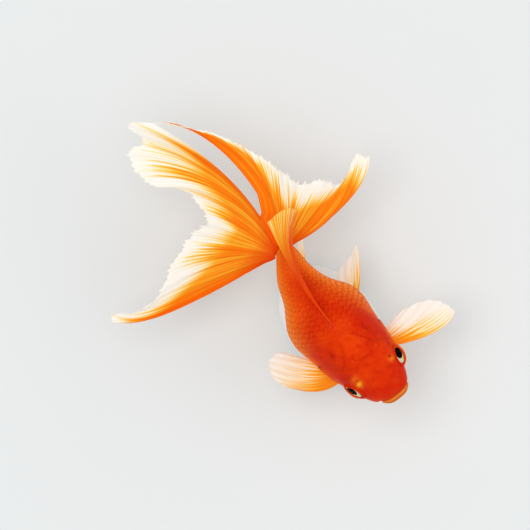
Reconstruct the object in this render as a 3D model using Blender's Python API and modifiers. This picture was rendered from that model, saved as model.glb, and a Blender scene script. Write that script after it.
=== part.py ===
"""A still, life-size model of a fantail goldfish, swimming, on a plain display stand.

The fish faces -Y with its left side to +X. Sizes in the tables are millimetres from the
fish's own datum: `along` runs from the lips to the tail, `side` to the fish's left, and
`height` up from the line between the mouth and the tail stalk.
"""

import math
from collections import namedtuple

import bmesh
import bpy
import numpy as np
from mathutils import Matrix, Vector

MM = 0.001
GAP = 0.3  # clearance wherever two pieces meet

# The stand: its rod goes into the belly at ROD_ALONG, and the origin is under the rod's foot.
AXIS_HEIGHT = 62.0
BELLY_HEIGHT = AXIS_HEIGHT - 26.6
ROD_ALONG, ROD_SIDE = 45.0, -2.0
ROD_RADIUS = 2.0
ROD_DEPTH = 9.0  # how far the rod reaches into the belly
COLLAR_RADIUS, COLLAR_HEIGHT = 4.5, 3.0
BASE_HALF_WIDTH, BASE_HALF_LENGTH, BASE_HEIGHT = 21.0, 32.0, 8.0
BASE_SOCKET = 5.0
BASE_BEVEL = 1.2

# Body sections from the lips to the end of the tail stalk. widest is the height of the
# broadest level; the powers square off (above 2) or pinch (below 2) the upper and lower halves.
Section = namedtuple("Section", "along centre half_width top bottom widest top_power bottom_power")
SECTIONS = (
    Section(0.3, 1.8, 3.4, -2.1, -4.3, -3.2, 2.2, 2.2),
    Section(1.2, 1.6, 5.8, -1.0, -5.4, -3.2, 2.2, 2.2),
    Section(1.9, 1.6, 6.9, 0.0, -6.4, -3.2, 2.2, 2.2),
    Section(3.2, 1.2, 7.5, 1.8, -7.6, -3.3, 2.2, 2.1),
    Section(5.4, 0.8, 9.2, 4.8, -9.2, -3.4, 2.2, 2.1),
    Section(9.5, 0.4, 11.6, 8.6, -11.8, -3.6, 2.2, 2.1),
    Section(14.5, 0.3, 13.3, 12.2, -14.6, -4.0, 2.2, 2.1),
    Section(19.8, -0.1, 15.2, 15.3, -17.2, -4.4, 2.2, 2.1),
    Section(25.0, -0.8, 16.9, 18.1, -19.4, -4.8, 2.15, 2.1),
    Section(31.0, -1.3, 18.0, 20.8, -22.0, -5.2, 2.05, 2.1),
    Section(37.0, -1.7, 18.6, 23.0, -24.6, -5.6, 1.95, 2.1),
    Section(43.0, -2.0, 19.4, 23.9, -26.4, -6.0, 1.9, 2.15),
    Section(48.0, -2.15, 19.8, 23.3, -26.8, -6.0, 1.9, 2.15),
    Section(53.0, -2.3, 19.2, 21.7, -25.6, -5.4, 1.9, 2.1),
    Section(57.5, -2.6, 17.3, 19.7, -22.6, -4.2, 1.9, 2.0),
    Section(62.0, -2.8, 14.3, 17.4, -18.6, -2.6, 1.9, 2.0),
    Section(66.5, -2.6, 11.7, 15.0, -14.8, -1.2, 1.95, 2.0),
    Section(71.0, -2.4, 10.1, 12.8, -11.8, -0.4, 2.0, 2.0),
    Section(76.0, -1.8, 8.7, 10.9, -9.6, 0.0, 2.0, 2.0),
    Section(81.0, -0.3, 7.1, 9.6, -8.4, 0.3, 2.0, 2.0),
    Section(85.5, 1.2, 5.2, 8.8, -7.8, 0.3, 2.0, 2.0),
    Section(89.5, 2.0, 3.0, 7.4, -6.6, 0.2, 2.0, 2.0),
    Section(91.5, 2.2, 1.2, 5.4, -4.8, 0.2, 2.0, 2.0),
)
BODY_RINGS, BODY_SIDES = 38, 26
HEAD_END, TRUNK_END = 35.5, 67.0

# Head furniture.
EYE_RADIUS, EYE_SEGMENTS, EYE_RINGS = 4.7, 16, 10
EYE_ALONG, EYE_SIDE, EYE_HEIGHT, EYE_SHIFT = 17.4, 11.2, 0.8, 0.2
GILL_ALONG, GILL_HEIGHT, GILL_SHIFT = 29.0, -4.0, -1.1
GILL_HALF_LENGTH, GILL_HALF_HEIGHT, GILL_INNER = 5.0, 9.5, 11.0
JAW_LENGTH, JAW_DEPTH, JAW_SLOPE = 8.0, 12.0, math.radians(9)
MOUTH_HEIGHT = -3.0

# A fin is a fan of rays. Each ray leaves the root line at a heading (0 is straight back, 90 is
# the fish's left) and a climb, and turns by bend, sag and, near its tip, curl. All in degrees.
Ray = namedtuple("Ray", "heading climb length bend sag curl", defaults=(0, 0, 0))
Fin = namedtuple("Fin", "name root_start root_end rays")
FIN_THICKNESS = 0.6
RAY_STEPS = 48
RAY_COLUMNS = 2  # strips of the mesh from one ray to the next

DORSAL = Fin("dorsal_fin", (44.5, -2.1, 22.0), (70.0, -2.3, 11.5), (
    Ray(-2, 54, 29, 2, -21),
    Ray(-3, 65, 36, 16, -46),
    Ray(-3, 52, 42, 28, -41),
    Ray(-1, 40, 44.5, 40, -30),
    Ray(0, 32.5, 46.5, 54, -24),
    Ray(2, 24, 42, 38, -8),
    Ray(8, 20, 34, 5, -2),
))
PECTORAL_LEFT = Fin("pectoral_fin_left", (23.2, 9.6, -14.5), (28.5, 10.0, -17.0), (
    Ray(121, -2, 39.5, -27, 3, -48),
    Ray(102, -3, 36.5, -15, 3),
    Ray(103, -3, 31.5, -33, 1),
    Ray(80, -4, 23, 0, -2),
    Ray(77, -4, 16, 0, -6),
    Ray(81, -4, 10.5, 0, -9),
))
PECTORAL_RIGHT = Fin("pectoral_fin_right", (23.2, -11.6, -14.5), (28.5, -12.4, -17.0), (
    Ray(-102, -2, 32, 93, 2, -40),
    Ray(-80, -3, 35, 51, 3),
    Ray(-68, -3, 36, 42, 1),
    Ray(-41, -4, 34, 0, 1),
    Ray(-35, -4, 29),
    Ray(-37, -4, 19, 0, -1),
))
PELVIC_LEFT = Fin("pelvic_fin_left", (42.0, 6.5, -23.5), (47.5, 4.0, -24.5), (
    Ray(59, -13, 37, -34, -3),
    Ray(39, -22, 30.5, 0, 5),
    Ray(33, -26, 26, 0, 2),
    Ray(27, -30, 21, 0, -2),
    Ray(25, -36, 13, 0, -8),
))
PELVIC_RIGHT = Fin("pelvic_fin_right", (42.0, -10.5, -23.5), (47.5, -8.0, -24.5), (
    Ray(-9, -22, 26.5, 0, -8),
    Ray(-7, -28, 23, 0, -7),
    Ray(-3, -34, 19, 0, -8),
    Ray(1, -42, 12.5, 0, -14),
))
ANAL_LEFT = Fin("anal_fin_left", (64.5, 0.2, -14.0), (71.5, 0.4, -10.0), (
    Ray(18, -40, 20, 0, 6),
    Ray(31, -36, 26, 0, 5),
    Ray(31, -28, 23.5, 0, 2),
    Ray(25, -28, 16, 0, -3),
))
ANAL_RIGHT = Fin("anal_fin_right", (64.5, -5.0, -14.0), (71.5, -4.0, -10.0), (
    Ray(-6, -40, 18, 0, -4),
    Ray(-1, -36, 21, 0, -13),
    Ray(2, -28, 19, 0, -13),
    Ray(2, -28, 13.5, 0, -16),
))
# Each half of the double tail fin, from its top ray to its leading bottom ray.
TAIL_RIGHT = Fin("tail_fin_right", (88.5, -0.6, 6.0), (87.0, -3.6, -5.0), (
    Ray(15, 25, 85.5, -45, -32, 11),
    Ray(14, 20, 96.5, -52, -24),
    Ray(14, 18, 84.5, -53, -21),
    Ray(15, 16, 88.5, -68, -18),
    Ray(13, 15, 72, -74, -19),
    Ray(2, 10, 51, -40, -9),
    Ray(-13, 5, 37.5, -27, -5),
    Ray(-34, -1, 41, -8, -6),
    Ray(-46, -6, 48.5, -17, -3),
    Ray(-53, -13, 61, -36, 6),
    Ray(-66, -15, 72.5, -16, 7),
    Ray(-76, -23, 86, -9, 25, 75),
    Ray(-83, -19, 85, 9, 17, 37),
))
TAIL_LEFT = Fin("tail_fin_left", (88.5, 1.4, 6.0), (87.0, 5.4, -5.0), (
    Ray(23, 33, 91.5, -51, -41, -33),
    Ray(36, 30, 75.5, -67, -24),
    Ray(30, 25, 55, -28, -12),
    Ray(29, 22, 41.5, 3, -5),
    Ray(44, 15, 36, -12, -4),
    Ray(45, 8, 31, 10, -8),
    Ray(68, -2, 37.5, 5, -10),
    Ray(82, -10, 40.5, -7, -4),
    Ray(107, -15, 56.5, -66, 10),
    Ray(101, -19, 58.5, -32, 18, -34),
))
TAIL_HALVES = ((TAIL_LEFT, "left", 4), (TAIL_RIGHT, "right", 6))  # and the ray at its fork


def clear_scene():
    for obj in list(bpy.data.objects):
        bpy.data.objects.remove(obj, do_unlink=True)


def collection(name):
    made = bpy.data.collections.new(name)
    bpy.context.scene.collection.children.link(made)
    return made


def finish(name, colour, roughness, metallic=0.0):
    made = bpy.data.materials.new(name)
    made.use_nodes = True
    shader = made.node_tree.nodes["Principled BSDF"]
    shader.inputs["Base Color"].default_value = (*colour, 1)
    shader.inputs["Roughness"].default_value = roughness
    shader.inputs["Metallic"].default_value = metallic
    return made


def place(along, side, height):
    """A point of the fish's datum, in metres in the model's frame."""
    return Vector((side - ROD_SIDE, along - ROD_ALONG, height + AXIS_HEIGHT)) * MM


def between(rows, at):
    """The row at a fractional place in a table, on a smooth curve through the rows."""
    rows = np.asarray(rows, float)
    first = int(min(max(math.floor(at), 0), len(rows) - 2))
    share = at - first
    before, here, there = rows[max(first - 1, 0)], rows[first], rows[first + 1]
    after = rows[min(first + 2, len(rows) - 1)]
    return 0.5 * (
        2 * here
        + (there - before) * share
        + (2 * before - 5 * here + 4 * there - after) * share**2
        + (3 * here - before - 3 * there + after) * share**3
    )


def body_point(at, turn):
    """The body's surface at a fractional section, turn radians round from its left side."""
    section = Section(*between(SECTIONS, at))
    across, up = math.cos(turn), math.sin(turn)
    power = 2 / (section.top_power if up > 0 else section.bottom_power)
    reach = (section.top if up > 0 else section.bottom) - section.widest
    side = section.centre + section.half_width * math.copysign(abs(across) ** power, across)
    return place(section.along, side, section.widest + reach * abs(up) ** power)


def sheet(columns, rows, point):
    """A bmesh grid whose corner (u, v), both from 0 to 1, sits at point(u, v)."""
    bm = bmesh.new()
    bmesh.ops.create_grid(bm, x_segments=columns, y_segments=rows, size=1)
    for vert in bm.verts:
        vert.co = point((vert.co.x + 1) / 2, (vert.co.y + 1) / 2)
    return bm


def close(bm):
    """Fills every hole and turns the faces outwards."""
    edges = [edge for edge in bm.edges if edge.is_boundary]
    bmesh.ops.holes_fill(bm, edges=edges, sides=0)
    bmesh.ops.recalc_face_normals(bm, faces=bm.faces)


def body():
    """The whole body, lips to tail stalk, as one closed bmesh."""
    last = len(SECTIONS) - 1
    bm = sheet(BODY_RINGS, BODY_SIDES, lambda u, v: body_point(u * last, v * 2 * math.pi))
    bmesh.ops.remove_doubles(bm, verts=bm.verts, dist=1e-6)
    close(bm)
    return bm


def keep(bm, along, behind):
    """Cuts the bmesh straight across at along, and keeps what is behind or in front of it."""
    bmesh.ops.bisect_plane(
        bm,
        geom=bm.verts[:] + bm.edges[:] + bm.faces[:],
        plane_co=place(along, 0, 0),
        plane_no=(0, 1, 0),
        clear_inner=behind,
        clear_outer=not behind,
    )
    close(bm)


def as_object(name, bm, into, material=None):
    mesh = bpy.data.meshes.new(name)
    bm.to_mesh(mesh)
    bm.free()
    mesh.shade_smooth()
    mesh.set_sharp_from_angle(angle=math.radians(40))
    if material:
        mesh.materials.append(material)
    obj = bpy.data.objects.new(name, mesh)
    into.objects.link(obj)
    return obj


def as_cutter(obj):
    obj.hide_render = True
    obj.display_type = "WIRE"
    return obj


def boolean(obj, cutter, operation="DIFFERENCE"):
    modifier = obj.modifiers.new(f"{operation} {cutter.name}", "BOOLEAN")
    modifier.operation = operation
    modifier.solver = "EXACT"
    modifier.object = cutter


def rod_solid(radius, low, high, segments=24):
    """An upright cylinder on the rod's axis, between two heights above the floor."""
    bm = bmesh.new()
    bmesh.ops.create_cone(
        bm, cap_ends=True, segments=segments, radius1=radius * MM, radius2=radius * MM,
        depth=(high - low) * MM, matrix=Matrix.Translation((0, 0, (low + high) / 2 * MM)),
    )
    return bm


def gill_cutter(hand, grow):
    """An oval bar through one cheek, standing out past the skin."""
    bm = bmesh.new()
    reach = 30.0
    inner = GILL_INNER - grow
    size = Matrix.Diagonal(
        ((GILL_HALF_LENGTH + grow) * MM, (GILL_HALF_HEIGHT + grow) * MM, (reach - inner) * MM, 1)
    )
    spot = place(GILL_ALONG, GILL_SHIFT + hand * (reach + inner) / 2, GILL_HEIGHT)
    turn = Matrix.Rotation(math.radians(90), 4, "Y") @ Matrix.Rotation(math.radians(90), 4, "Z")
    bmesh.ops.create_cone(
        bm, cap_ends=True, segments=20, radius1=1, radius2=1, depth=1,
        matrix=Matrix.Translation(spot) @ turn @ size,
    )
    return bm


def jaw_cutter(grow):
    """A block round the chin, from the mouth line down, tipped to follow the jaw."""
    bm = bmesh.new()
    length, depth, width = JAW_LENGTH + 6, JAW_DEPTH, 30.0
    size = Matrix.Diagonal(((width + 2 * grow) * MM, (length + 2 * grow) * MM,
                            (depth + 2 * grow) * MM, 1))
    centre = Matrix.Translation((0, (length / 2 - 6) * MM, -depth / 2 * MM))
    pivot = Matrix.Translation(place(0, 1.0, MOUTH_HEIGHT))
    tip = Matrix.Rotation(JAW_SLOPE, 4, "X")
    bmesh.ops.create_cube(bm, size=1, matrix=pivot @ tip @ centre @ size)
    return bm


def fin_point(fin, across, out):
    """A point of the fin's middle surface: across 0 to 1 over its rays, out 0 to 1 along them."""
    ray = Ray(*between(fin.rays, across * (len(fin.rays) - 1)))
    share = (np.arange(RAY_STEPS) + 0.5) / RAY_STEPS * out
    heading = np.radians(ray.heading + ray.bend * share + ray.curl * share**6)
    climb = np.radians(ray.climb + ray.sag * share)
    step = ray.length * out / RAY_STEPS
    start = Vector(fin.root_start).lerp(Vector(fin.root_end), across)
    return place(
        start.x + step * float(np.sum(np.cos(climb) * np.cos(heading))),
        start.y + step * float(np.sum(np.cos(climb) * np.sin(heading))),
        start.z + step * float(np.sum(np.sin(climb))),
    )


def beside(fin, across, out, way):
    """The place across the fin that is half a GAP to one side of another, at a distance out."""
    step = 0.01
    wide = (fin_point(fin, across + step, out) - fin_point(fin, across - step, out)).length
    return across + way * 2 * step * GAP / 2 * MM / wide


def fin_solid(name, fin, rows, material, into, body_room, low=0.0, high=1.0):
    """A fin, or the lobe from low to high across it, as a plate that stops short of the body."""
    def point(u, v):
        start = beside(fin, low, v, 1) if low > 0 else low
        end = beside(fin, high, v, -1) if high < 1 else high
        return fin_point(fin, start + (end - start) * u, v)

    columns = RAY_COLUMNS * round((high - low) * (len(fin.rays) - 1))
    obj = as_object(name, sheet(columns, rows, point), into, material)
    plate = obj.modifiers.new("Thickness", "SOLIDIFY")
    plate.thickness = FIN_THICKNESS * MM
    plate.offset = 0
    boolean(obj, body_room)
    return obj


def build_head(into, cutters, flesh):
    """The head, with its gill covers and lower jaw parted from it and its eye sockets cut."""
    head = body()
    keep(head, HEAD_END - GAP / 2, behind=False)
    head = as_object("head", head, into, flesh)
    jaw = as_object("lower_jaw", bmesh_of(head), into, flesh)
    boolean(jaw, as_cutter(as_object("jaw_plug", jaw_cutter(0), cutters)), "INTERSECT")
    boolean(head, as_cutter(as_object("jaw_room", jaw_cutter(GAP), cutters)))
    for hand, side in ((1, "left"), (-1, "right")):
        cover = as_object(f"gill_cover_{side}", bmesh_of(head), into, flesh)
        plug = as_cutter(as_object(f"gill_plug_{side}", gill_cutter(hand, 0), cutters))
        boolean(cover, plug, "INTERSECT")
        room = as_cutter(as_object(f"gill_room_{side}", gill_cutter(hand, GAP), cutters))
        boolean(head, room)
        socket = as_cutter(as_object(f"eye_room_{side}", eye_ball(hand, GAP), cutters))
        boolean(head, socket)


def build_trunk(into, cutters, flesh):
    """The trunk, with a hole up into the belly for the rod, and the tail stalk behind it."""
    trunk = body()
    keep(trunk, HEAD_END + GAP / 2, behind=True)
    keep(trunk, TRUNK_END - GAP / 2, behind=False)
    trunk = as_object("trunk", trunk, into, flesh)
    hole = rod_solid(ROD_RADIUS + GAP, BELLY_HEIGHT - 10, BELLY_HEIGHT + ROD_DEPTH + GAP)
    boolean(trunk, as_cutter(as_object("rod_room", hole, cutters)))
    stalk = body()
    keep(stalk, TRUNK_END + GAP / 2, behind=True)
    as_object("tail_stalk", stalk, into, flesh)


def bmesh_of(obj):
    """A copy of the object's own mesh, to cut another piece from."""
    bm = bmesh.new()
    bm.from_mesh(obj.data)
    return bm


def eye_ball(hand, grow=0.0):
    """An eyeball on the fish's left (hand 1) or right (-1)."""
    bm = bmesh.new()
    bmesh.ops.create_uvsphere(
        bm, u_segments=EYE_SEGMENTS, v_segments=EYE_RINGS, radius=(EYE_RADIUS + grow) * MM,
        matrix=Matrix.Translation(place(EYE_ALONG, EYE_SHIFT + hand * EYE_SIDE, EYE_HEIGHT)),
    )
    return bm


def build_fins(into, cutters, membrane):
    """Every fin, each stopping a GAP short of the body; the tail's halves part at their forks."""
    room = as_object("body_room", body(), cutters)
    swell = room.modifiers.new("Clearance", "DISPLACE")
    swell.strength = GAP * MM
    swell.mid_level = 0
    as_cutter(room)
    for fin in (DORSAL, PECTORAL_LEFT, PECTORAL_RIGHT):
        fin_solid(fin.name, fin, 8, membrane, into, room)
    for fin in (PELVIC_LEFT, PELVIC_RIGHT, ANAL_LEFT, ANAL_RIGHT):
        fin_solid(fin.name, fin, 6, membrane, into, room)
    for fin, side, fork_ray in TAIL_HALVES:
        fork = fork_ray / (len(fin.rays) - 1)
        fin_solid(f"tail_fin_upper_{side}", fin, 11, membrane, into, room, high=fork)
        fin_solid(f"tail_fin_lower_{side}", fin, 11, membrane, into, room, low=fork)


def build_stand(into, cutters, enamel, steel):
    """An oval base, and a rod that stands in its socket inside a collar."""
    base = bmesh.new()
    size = Matrix.Diagonal((BASE_HALF_WIDTH * MM, BASE_HALF_LENGTH * MM, BASE_HEIGHT * MM, 1))
    lift = Matrix.Translation((0, 0, BASE_HEIGHT / 2 * MM))
    bmesh.ops.create_cone(base, cap_ends=True, segments=44, radius1=1, radius2=1, depth=1,
                          matrix=lift @ size)
    rims = [e for e in base.edges if len(e.link_faces) == 2 and e.calc_face_angle() > 1]
    bmesh.ops.bevel(base, geom=rims, offset=BASE_BEVEL * MM, segments=2, profile=0.5,
                    affect="EDGES", clamp_overlap=True, material=-1)
    base = as_object("stand_base", base, into, enamel)
    seat = BASE_HEIGHT - BASE_SOCKET
    hole = rod_solid(ROD_RADIUS + GAP, seat - GAP, BASE_HEIGHT + 5)
    boolean(base, as_cutter(as_object("base_socket", hole, cutters)))
    rod = rod_solid(ROD_RADIUS, seat, BELLY_HEIGHT + ROD_DEPTH)
    as_object("stand_rod", rod, into, steel)
    foot = BASE_HEIGHT + GAP
    collar = as_object("stand_collar", rod_solid(COLLAR_RADIUS, foot, foot + COLLAR_HEIGHT, 32),
                       into, steel)
    bore = rod_solid(ROD_RADIUS + GAP, foot - 1, foot + COLLAR_HEIGHT + 1)
    boolean(collar, as_cutter(as_object("collar_bore", bore, cutters)))


def main():
    clear_scene()
    into, cutters = collection("goldfish"), collection("cutters")
    flesh = finish("orange_red_flesh", (0.70, 0.06, 0.005), 0.4)
    membrane = finish("fin_membrane", (0.95, 0.42, 0.08), 0.45)
    eye = finish("eye", (0.02, 0.02, 0.02), 0.1)
    enamel = finish("white_enamel", (0.8, 0.8, 0.78), 0.4)
    steel = finish("brushed_steel", (0.6, 0.6, 0.6), 0.35, 1.0)
    build_head(into, cutters, flesh)
    build_trunk(into, cutters, flesh)
    for hand, side in ((1, "left"), (-1, "right")):
        as_object(f"eye_{side}", eye_ball(hand), into, eye)
    build_fins(into, cutters, membrane)
    build_stand(into, cutters, enamel, steel)


main()
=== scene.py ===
import math
import random
from collections import namedtuple
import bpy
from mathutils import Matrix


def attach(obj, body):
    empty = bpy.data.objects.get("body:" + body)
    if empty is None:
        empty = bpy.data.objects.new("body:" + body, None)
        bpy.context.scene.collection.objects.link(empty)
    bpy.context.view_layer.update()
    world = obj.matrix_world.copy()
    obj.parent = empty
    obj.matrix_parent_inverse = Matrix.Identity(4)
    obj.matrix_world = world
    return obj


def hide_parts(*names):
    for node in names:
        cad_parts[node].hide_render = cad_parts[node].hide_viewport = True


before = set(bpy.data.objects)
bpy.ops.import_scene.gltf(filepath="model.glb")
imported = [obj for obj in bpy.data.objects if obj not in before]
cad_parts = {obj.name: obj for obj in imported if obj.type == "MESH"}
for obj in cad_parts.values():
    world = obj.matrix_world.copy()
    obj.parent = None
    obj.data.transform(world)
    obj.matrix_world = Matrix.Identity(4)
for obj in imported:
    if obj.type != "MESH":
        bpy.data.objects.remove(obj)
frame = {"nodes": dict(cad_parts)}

from types import SimpleNamespace

import bmesh
import bpy
import numpy as np
from bpy.props import FloatProperty, FloatVectorProperty, IntProperty, PointerProperty
from bpy.types import Operator, Panel, PropertyGroup
from mathutils import Matrix, Vector

bl_info = {
    "name": "Fantail Goldfish",
    "version": (1, 0, 0),
    "blender": (4, 5, 0),
    "location": "View3D > Sidebar > Goldfish",
    "description": "Dresses a life-size fantail goldfish on its display stand",
    "category": "Add Mesh",
}

# Millimetres, in the fish's own datum: along runs from the lips back, side to the fish's left,
# and height up from the level of the tail stalk's axis.
MM = 0.001
AXIS_HEIGHT = 62.0
ROD_ALONG, ROD_SIDE = 45.0, -2.0

# Body sections from behind the lips to the end of the tail stalk. widest is the height of the
# broadest level; the powers square off (above 2) or pinch (below 2) the upper and lower halves.
Section = namedtuple("Section", "along centre half_width top bottom widest top_power bottom_power")
SECTIONS = (
    Section(0.3, 1.8, 3.4, -2.1, -4.3, -3.2, 2.2, 2.2),
    Section(1.2, 1.6, 5.8, -1.0, -5.4, -3.2, 2.2, 2.2),
    Section(1.9, 1.6, 6.9, 0.0, -6.4, -3.2, 2.2, 2.2),
    Section(3.2, 1.2, 7.5, 1.8, -7.6, -3.3, 2.2, 2.1),
    Section(5.4, 0.8, 9.2, 4.8, -9.2, -3.4, 2.2, 2.1),
    Section(9.5, 0.4, 11.6, 8.6, -11.8, -3.6, 2.2, 2.1),
    Section(14.5, 0.3, 13.3, 12.2, -14.6, -4.0, 2.2, 2.1),
    Section(19.8, -0.1, 15.2, 15.3, -17.2, -4.4, 2.2, 2.1),
    Section(25.0, -0.8, 16.9, 18.1, -19.4, -4.8, 2.15, 2.1),
    Section(31.0, -1.3, 18.0, 20.8, -22.0, -5.2, 2.05, 2.1),
    Section(37.0, -1.7, 18.6, 23.0, -24.6, -5.6, 1.95, 2.1),
    Section(43.0, -2.0, 19.4, 23.9, -26.4, -6.0, 1.9, 2.15),
    Section(48.0, -2.15, 19.8, 23.3, -26.8, -6.0, 1.9, 2.15),
    Section(53.0, -2.3, 19.2, 21.7, -25.6, -5.4, 1.9, 2.1),
    Section(57.5, -2.6, 17.3, 19.7, -22.6, -4.2, 1.9, 2.0),
    Section(62.0, -2.8, 14.3, 17.4, -18.6, -2.6, 1.9, 2.0),
    Section(66.5, -2.6, 11.7, 15.0, -14.8, -1.2, 1.95, 2.0),
    Section(71.0, -2.4, 10.1, 12.8, -11.8, -0.4, 2.0, 2.0),
    Section(76.0, -1.8, 8.7, 10.9, -9.6, 0.0, 2.0, 2.0),
    Section(81.0, -0.3, 7.1, 9.6, -8.4, 0.3, 2.0, 2.0),
    Section(85.5, 1.2, 5.2, 8.8, -7.8, 0.3, 2.0, 2.0),
    Section(89.5, 2.0, 3.0, 7.4, -6.6, 0.2, 2.0, 2.0),
    Section(91.5, 2.2, 1.2, 5.4, -4.8, 0.2, 2.0, 2.0),
)
SNOUT = 4  # the first of these sections that lies behind the lips

# Rings of the mouth, from deep inside it, out over the lips and into the fold behind them.
# Each goes through an upper and a lower point in the middle plane and a corner at each side.
Lip = namedtuple("Lip", "upper_along lower_along corner_along half_width upper lower")
LIPS = (
    Lip(5.2, 5.2, 5.2, 0.05, -3.08, -3.12),
    Lip(4.6, 4.6, 4.8, 3.0, -2.5, -3.7),
    Lip(3.0, 3.1, 4.2, 4.6, -2.45, -3.7),
    Lip(1.7, 2.0, 3.7, 5.6, -2.75, -3.45),
    Lip(0.8, 1.15, 3.3, 6.2, -2.7, -3.6),
    Lip(0.3, 0.65, 3.0, 6.7, -2.1, -4.2),
    Lip(0.35, 0.7, 3.0, 7.1, -1.2, -5.0),
    Lip(0.95, 1.3, 3.3, 7.35, -0.35, -5.75),
    Lip(1.8, 2.05, 3.75, 7.4, 0.25, -6.25),
    Lip(2.65, 2.75, 4.2, 7.25, 0.55, -6.55),
    Lip(3.1, 3.3, 4.55, 7.8, 1.5, -7.5),
    Lip(3.95, 4.2, 5.0, 8.25, 3.1, -8.5),
)
LIP_CENTRE, LIP_BLUNT, MOUTH_HEIGHT = 1.35, 3.3, -3.1
FOLD = 9  # the lip ring at the bottom of the fold

# The head's own features, with hand 1 for the fish's left and -1 for its right. EYES are the
# eyeballs' centres (along, side, height), and GAZE is where each looks: along, to its own side,
# and up. LIDS are the openings: how far the middle lies ahead of the iris's and above it, and
# half its length and height. A nostril is (along, side, how bright the painted highlight on its flap
# is).
SIDES = {1: "left", -1: "right"}
EYES = {1: (16.6, 11.8, 0.8), -1: (16.3, -11.8, 0.7)}
GAZE = {1: (-0.151, 0.805, 0.574), -1: (-0.30, 0.88, 0.36)}
LIDS = {1: (0.10, 0.45, 4.15, 3.30), -1: (0.30, 0.30, 4.40, 3.15)}
LID_TAPER = 0.14  # how much lower an opening is at its front end
LID_PLANE = 0.45  # how far before the iris's rim an opening is measured
# Distances from an eye's centre: those that hold the skin beside its lid, and those over which
# its surroundings pass into the head.
BESIDE_LID, SOCKET_RIM = (3.6, 8.0), (8.5, 11.0)
NOSTRILS = ((17.0, 9.5, 0.3), (17.0, -9.5, 1.0))
# Joints of the skull roof, as (how dark, corners), each corner (along, side) seen from above.
SEAMS = (
    (0.34, ((25.3, -2.3), (25.1, 2.3))),
    (0.20, ((25.3, 3.7), (26.7, 6.0), (29.0, 8.2))),
    (0.38, ((38.2, 2.3), (35.0, 4.6), (32.2, 6.4), (29.0, 8.5))),
    (0.30, ((29.0, 8.5), (27.6, 10.6), (26.2, 13.3))),
    (0.38, ((37.3, -4.8), (33.6, -6.2), (30.4, -7.8), (28.1, -9.2))),
    (0.28, ((28.1, -9.2), (26.7, -12.4))),
    (0.14, ((39.1, -11.5), (40.0, -2.3), (40.0, 4.6), (39.2, 9.5))),
)
# Soft dark marks of painted shade on the head, then small painted highlights on the head and upper
# flank: (along, side, how wide, how strong).
SHADE_BLOTCHES = (
    (35.4, -11.3, 1.8, 0.72), (37.4, 9.0, 1.2, 0.6), (35.0, 9.4, 1.5, 0.65),
    (33.5, -17.0, 2.2, 0.35), (30.5, -14.5, 5.5, 0.26), (31.5, 12.0, 5.0, 0.22),
    (22.6, 13.4, 1.8, 0.45), (21.9, -13.4, 1.6, 0.5), (26.0, -9.0, 2.2, 0.22),
    (17.8, 2.0, 4.0, 0.12), (8.0, 6.5, 3.0, 0.12),
)
GLINTS = (
    (19.9, -9.7, 1.9, 0.5), (16.9, -9.3, 1.9, 0.55), (17.6, 9.6, 1.6, 0.3),
    (27.3, -5.4, 0.45, 0.3), (27.4, -13.8, 0.5, 0.25), (31.8, 5.0, 0.45, 0.2),
    (35.2, 8.1, 0.45, 0.2), (26.4, 7.6, 0.45, 0.2), (41.5, 15.2, 0.9, 0.5),
    (43.6, 15.4, 0.8, 0.4), (40.0, 15.9, 0.7, 0.35),
)

# A fin is a fan of rays. Each ray leaves the root line at a heading (0 is straight back, 90 is
# the fish's left) and a climb, and turns by bend, sag and, near its tip, curl. All in degrees.
Ray = namedtuple("Ray", "heading climb length bend sag curl", defaults=(0, 0, 0))
Fin = namedtuple("Fin", "name root_start root_end rays")
DORSAL = Fin("dorsal_fin", (44.5, -2.1, 22.0), (70.0, -2.3, 11.5), (
    Ray(-2, 54, 29, 2, -21),
    Ray(-3, 65, 36, 16, -46),
    Ray(-3, 52, 42, 28, -41),
    Ray(-1, 40, 44.5, 40, -30),
    Ray(0, 32.5, 46.5, 54, -24),
    Ray(2, 24, 42, 38, -8),
    Ray(8, 20, 34, 5, -2),
))
PECTORAL_LEFT = Fin("pectoral_fin_left", (23.2, 9.6, -14.5), (28.5, 10.0, -17.0), (
    Ray(121, -2, 39.5, -27, 3, -48),
    Ray(102, -3, 36.5, -15, 3),
    Ray(103, -3, 31.5, -33, 1),
    Ray(80, -4, 23, 0, -2),
    Ray(77, -4, 16, 0, -6),
    Ray(81, -4, 10.5, 0, -9),
))
PECTORAL_RIGHT = Fin("pectoral_fin_right", (23.2, -11.6, -14.5), (28.5, -12.4, -17.0), (
    Ray(-102, -2, 32, 93, 2, -40),
    Ray(-80, -3, 35, 51, 3),
    Ray(-68, -3, 36, 42, 1),
    Ray(-41, -4, 34, 0, 1),
    Ray(-35, -4, 29),
    Ray(-37, -4, 19, 0, -1),
))
PELVIC_LEFT = Fin("pelvic_fin_left", (42.0, 6.5, -23.5), (47.5, 4.0, -24.5), (
    Ray(59, -13, 37, -34, -3),
    Ray(39, -22, 30.5, 0, 5),
    Ray(33, -26, 26, 0, 2),
    Ray(27, -30, 21, 0, -2),
    Ray(25, -36, 13, 0, -8),
))
PELVIC_RIGHT = Fin("pelvic_fin_right", (42.0, -10.5, -23.5), (47.5, -8.0, -24.5), (
    Ray(-9, -22, 26.5, 0, -8),
    Ray(-7, -28, 23, 0, -7),
    Ray(-3, -34, 19, 0, -8),
    Ray(1, -42, 12.5, 0, -14),
))
ANAL_LEFT = Fin("anal_fin_left", (64.5, 0.2, -14.0), (71.5, 0.4, -10.0), (
    Ray(18, -40, 20, 0, 6),
    Ray(31, -36, 26, 0, 5),
    Ray(31, -28, 23.5, 0, 2),
    Ray(25, -28, 16, 0, -3),
))
ANAL_RIGHT = Fin("anal_fin_right", (64.5, -5.0, -14.0), (71.5, -4.0, -10.0), (
    Ray(-6, -40, 18, 0, -4),
    Ray(-1, -36, 21, 0, -13),
    Ray(2, -28, 19, 0, -13),
    Ray(2, -28, 13.5, 0, -16),
))
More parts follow.
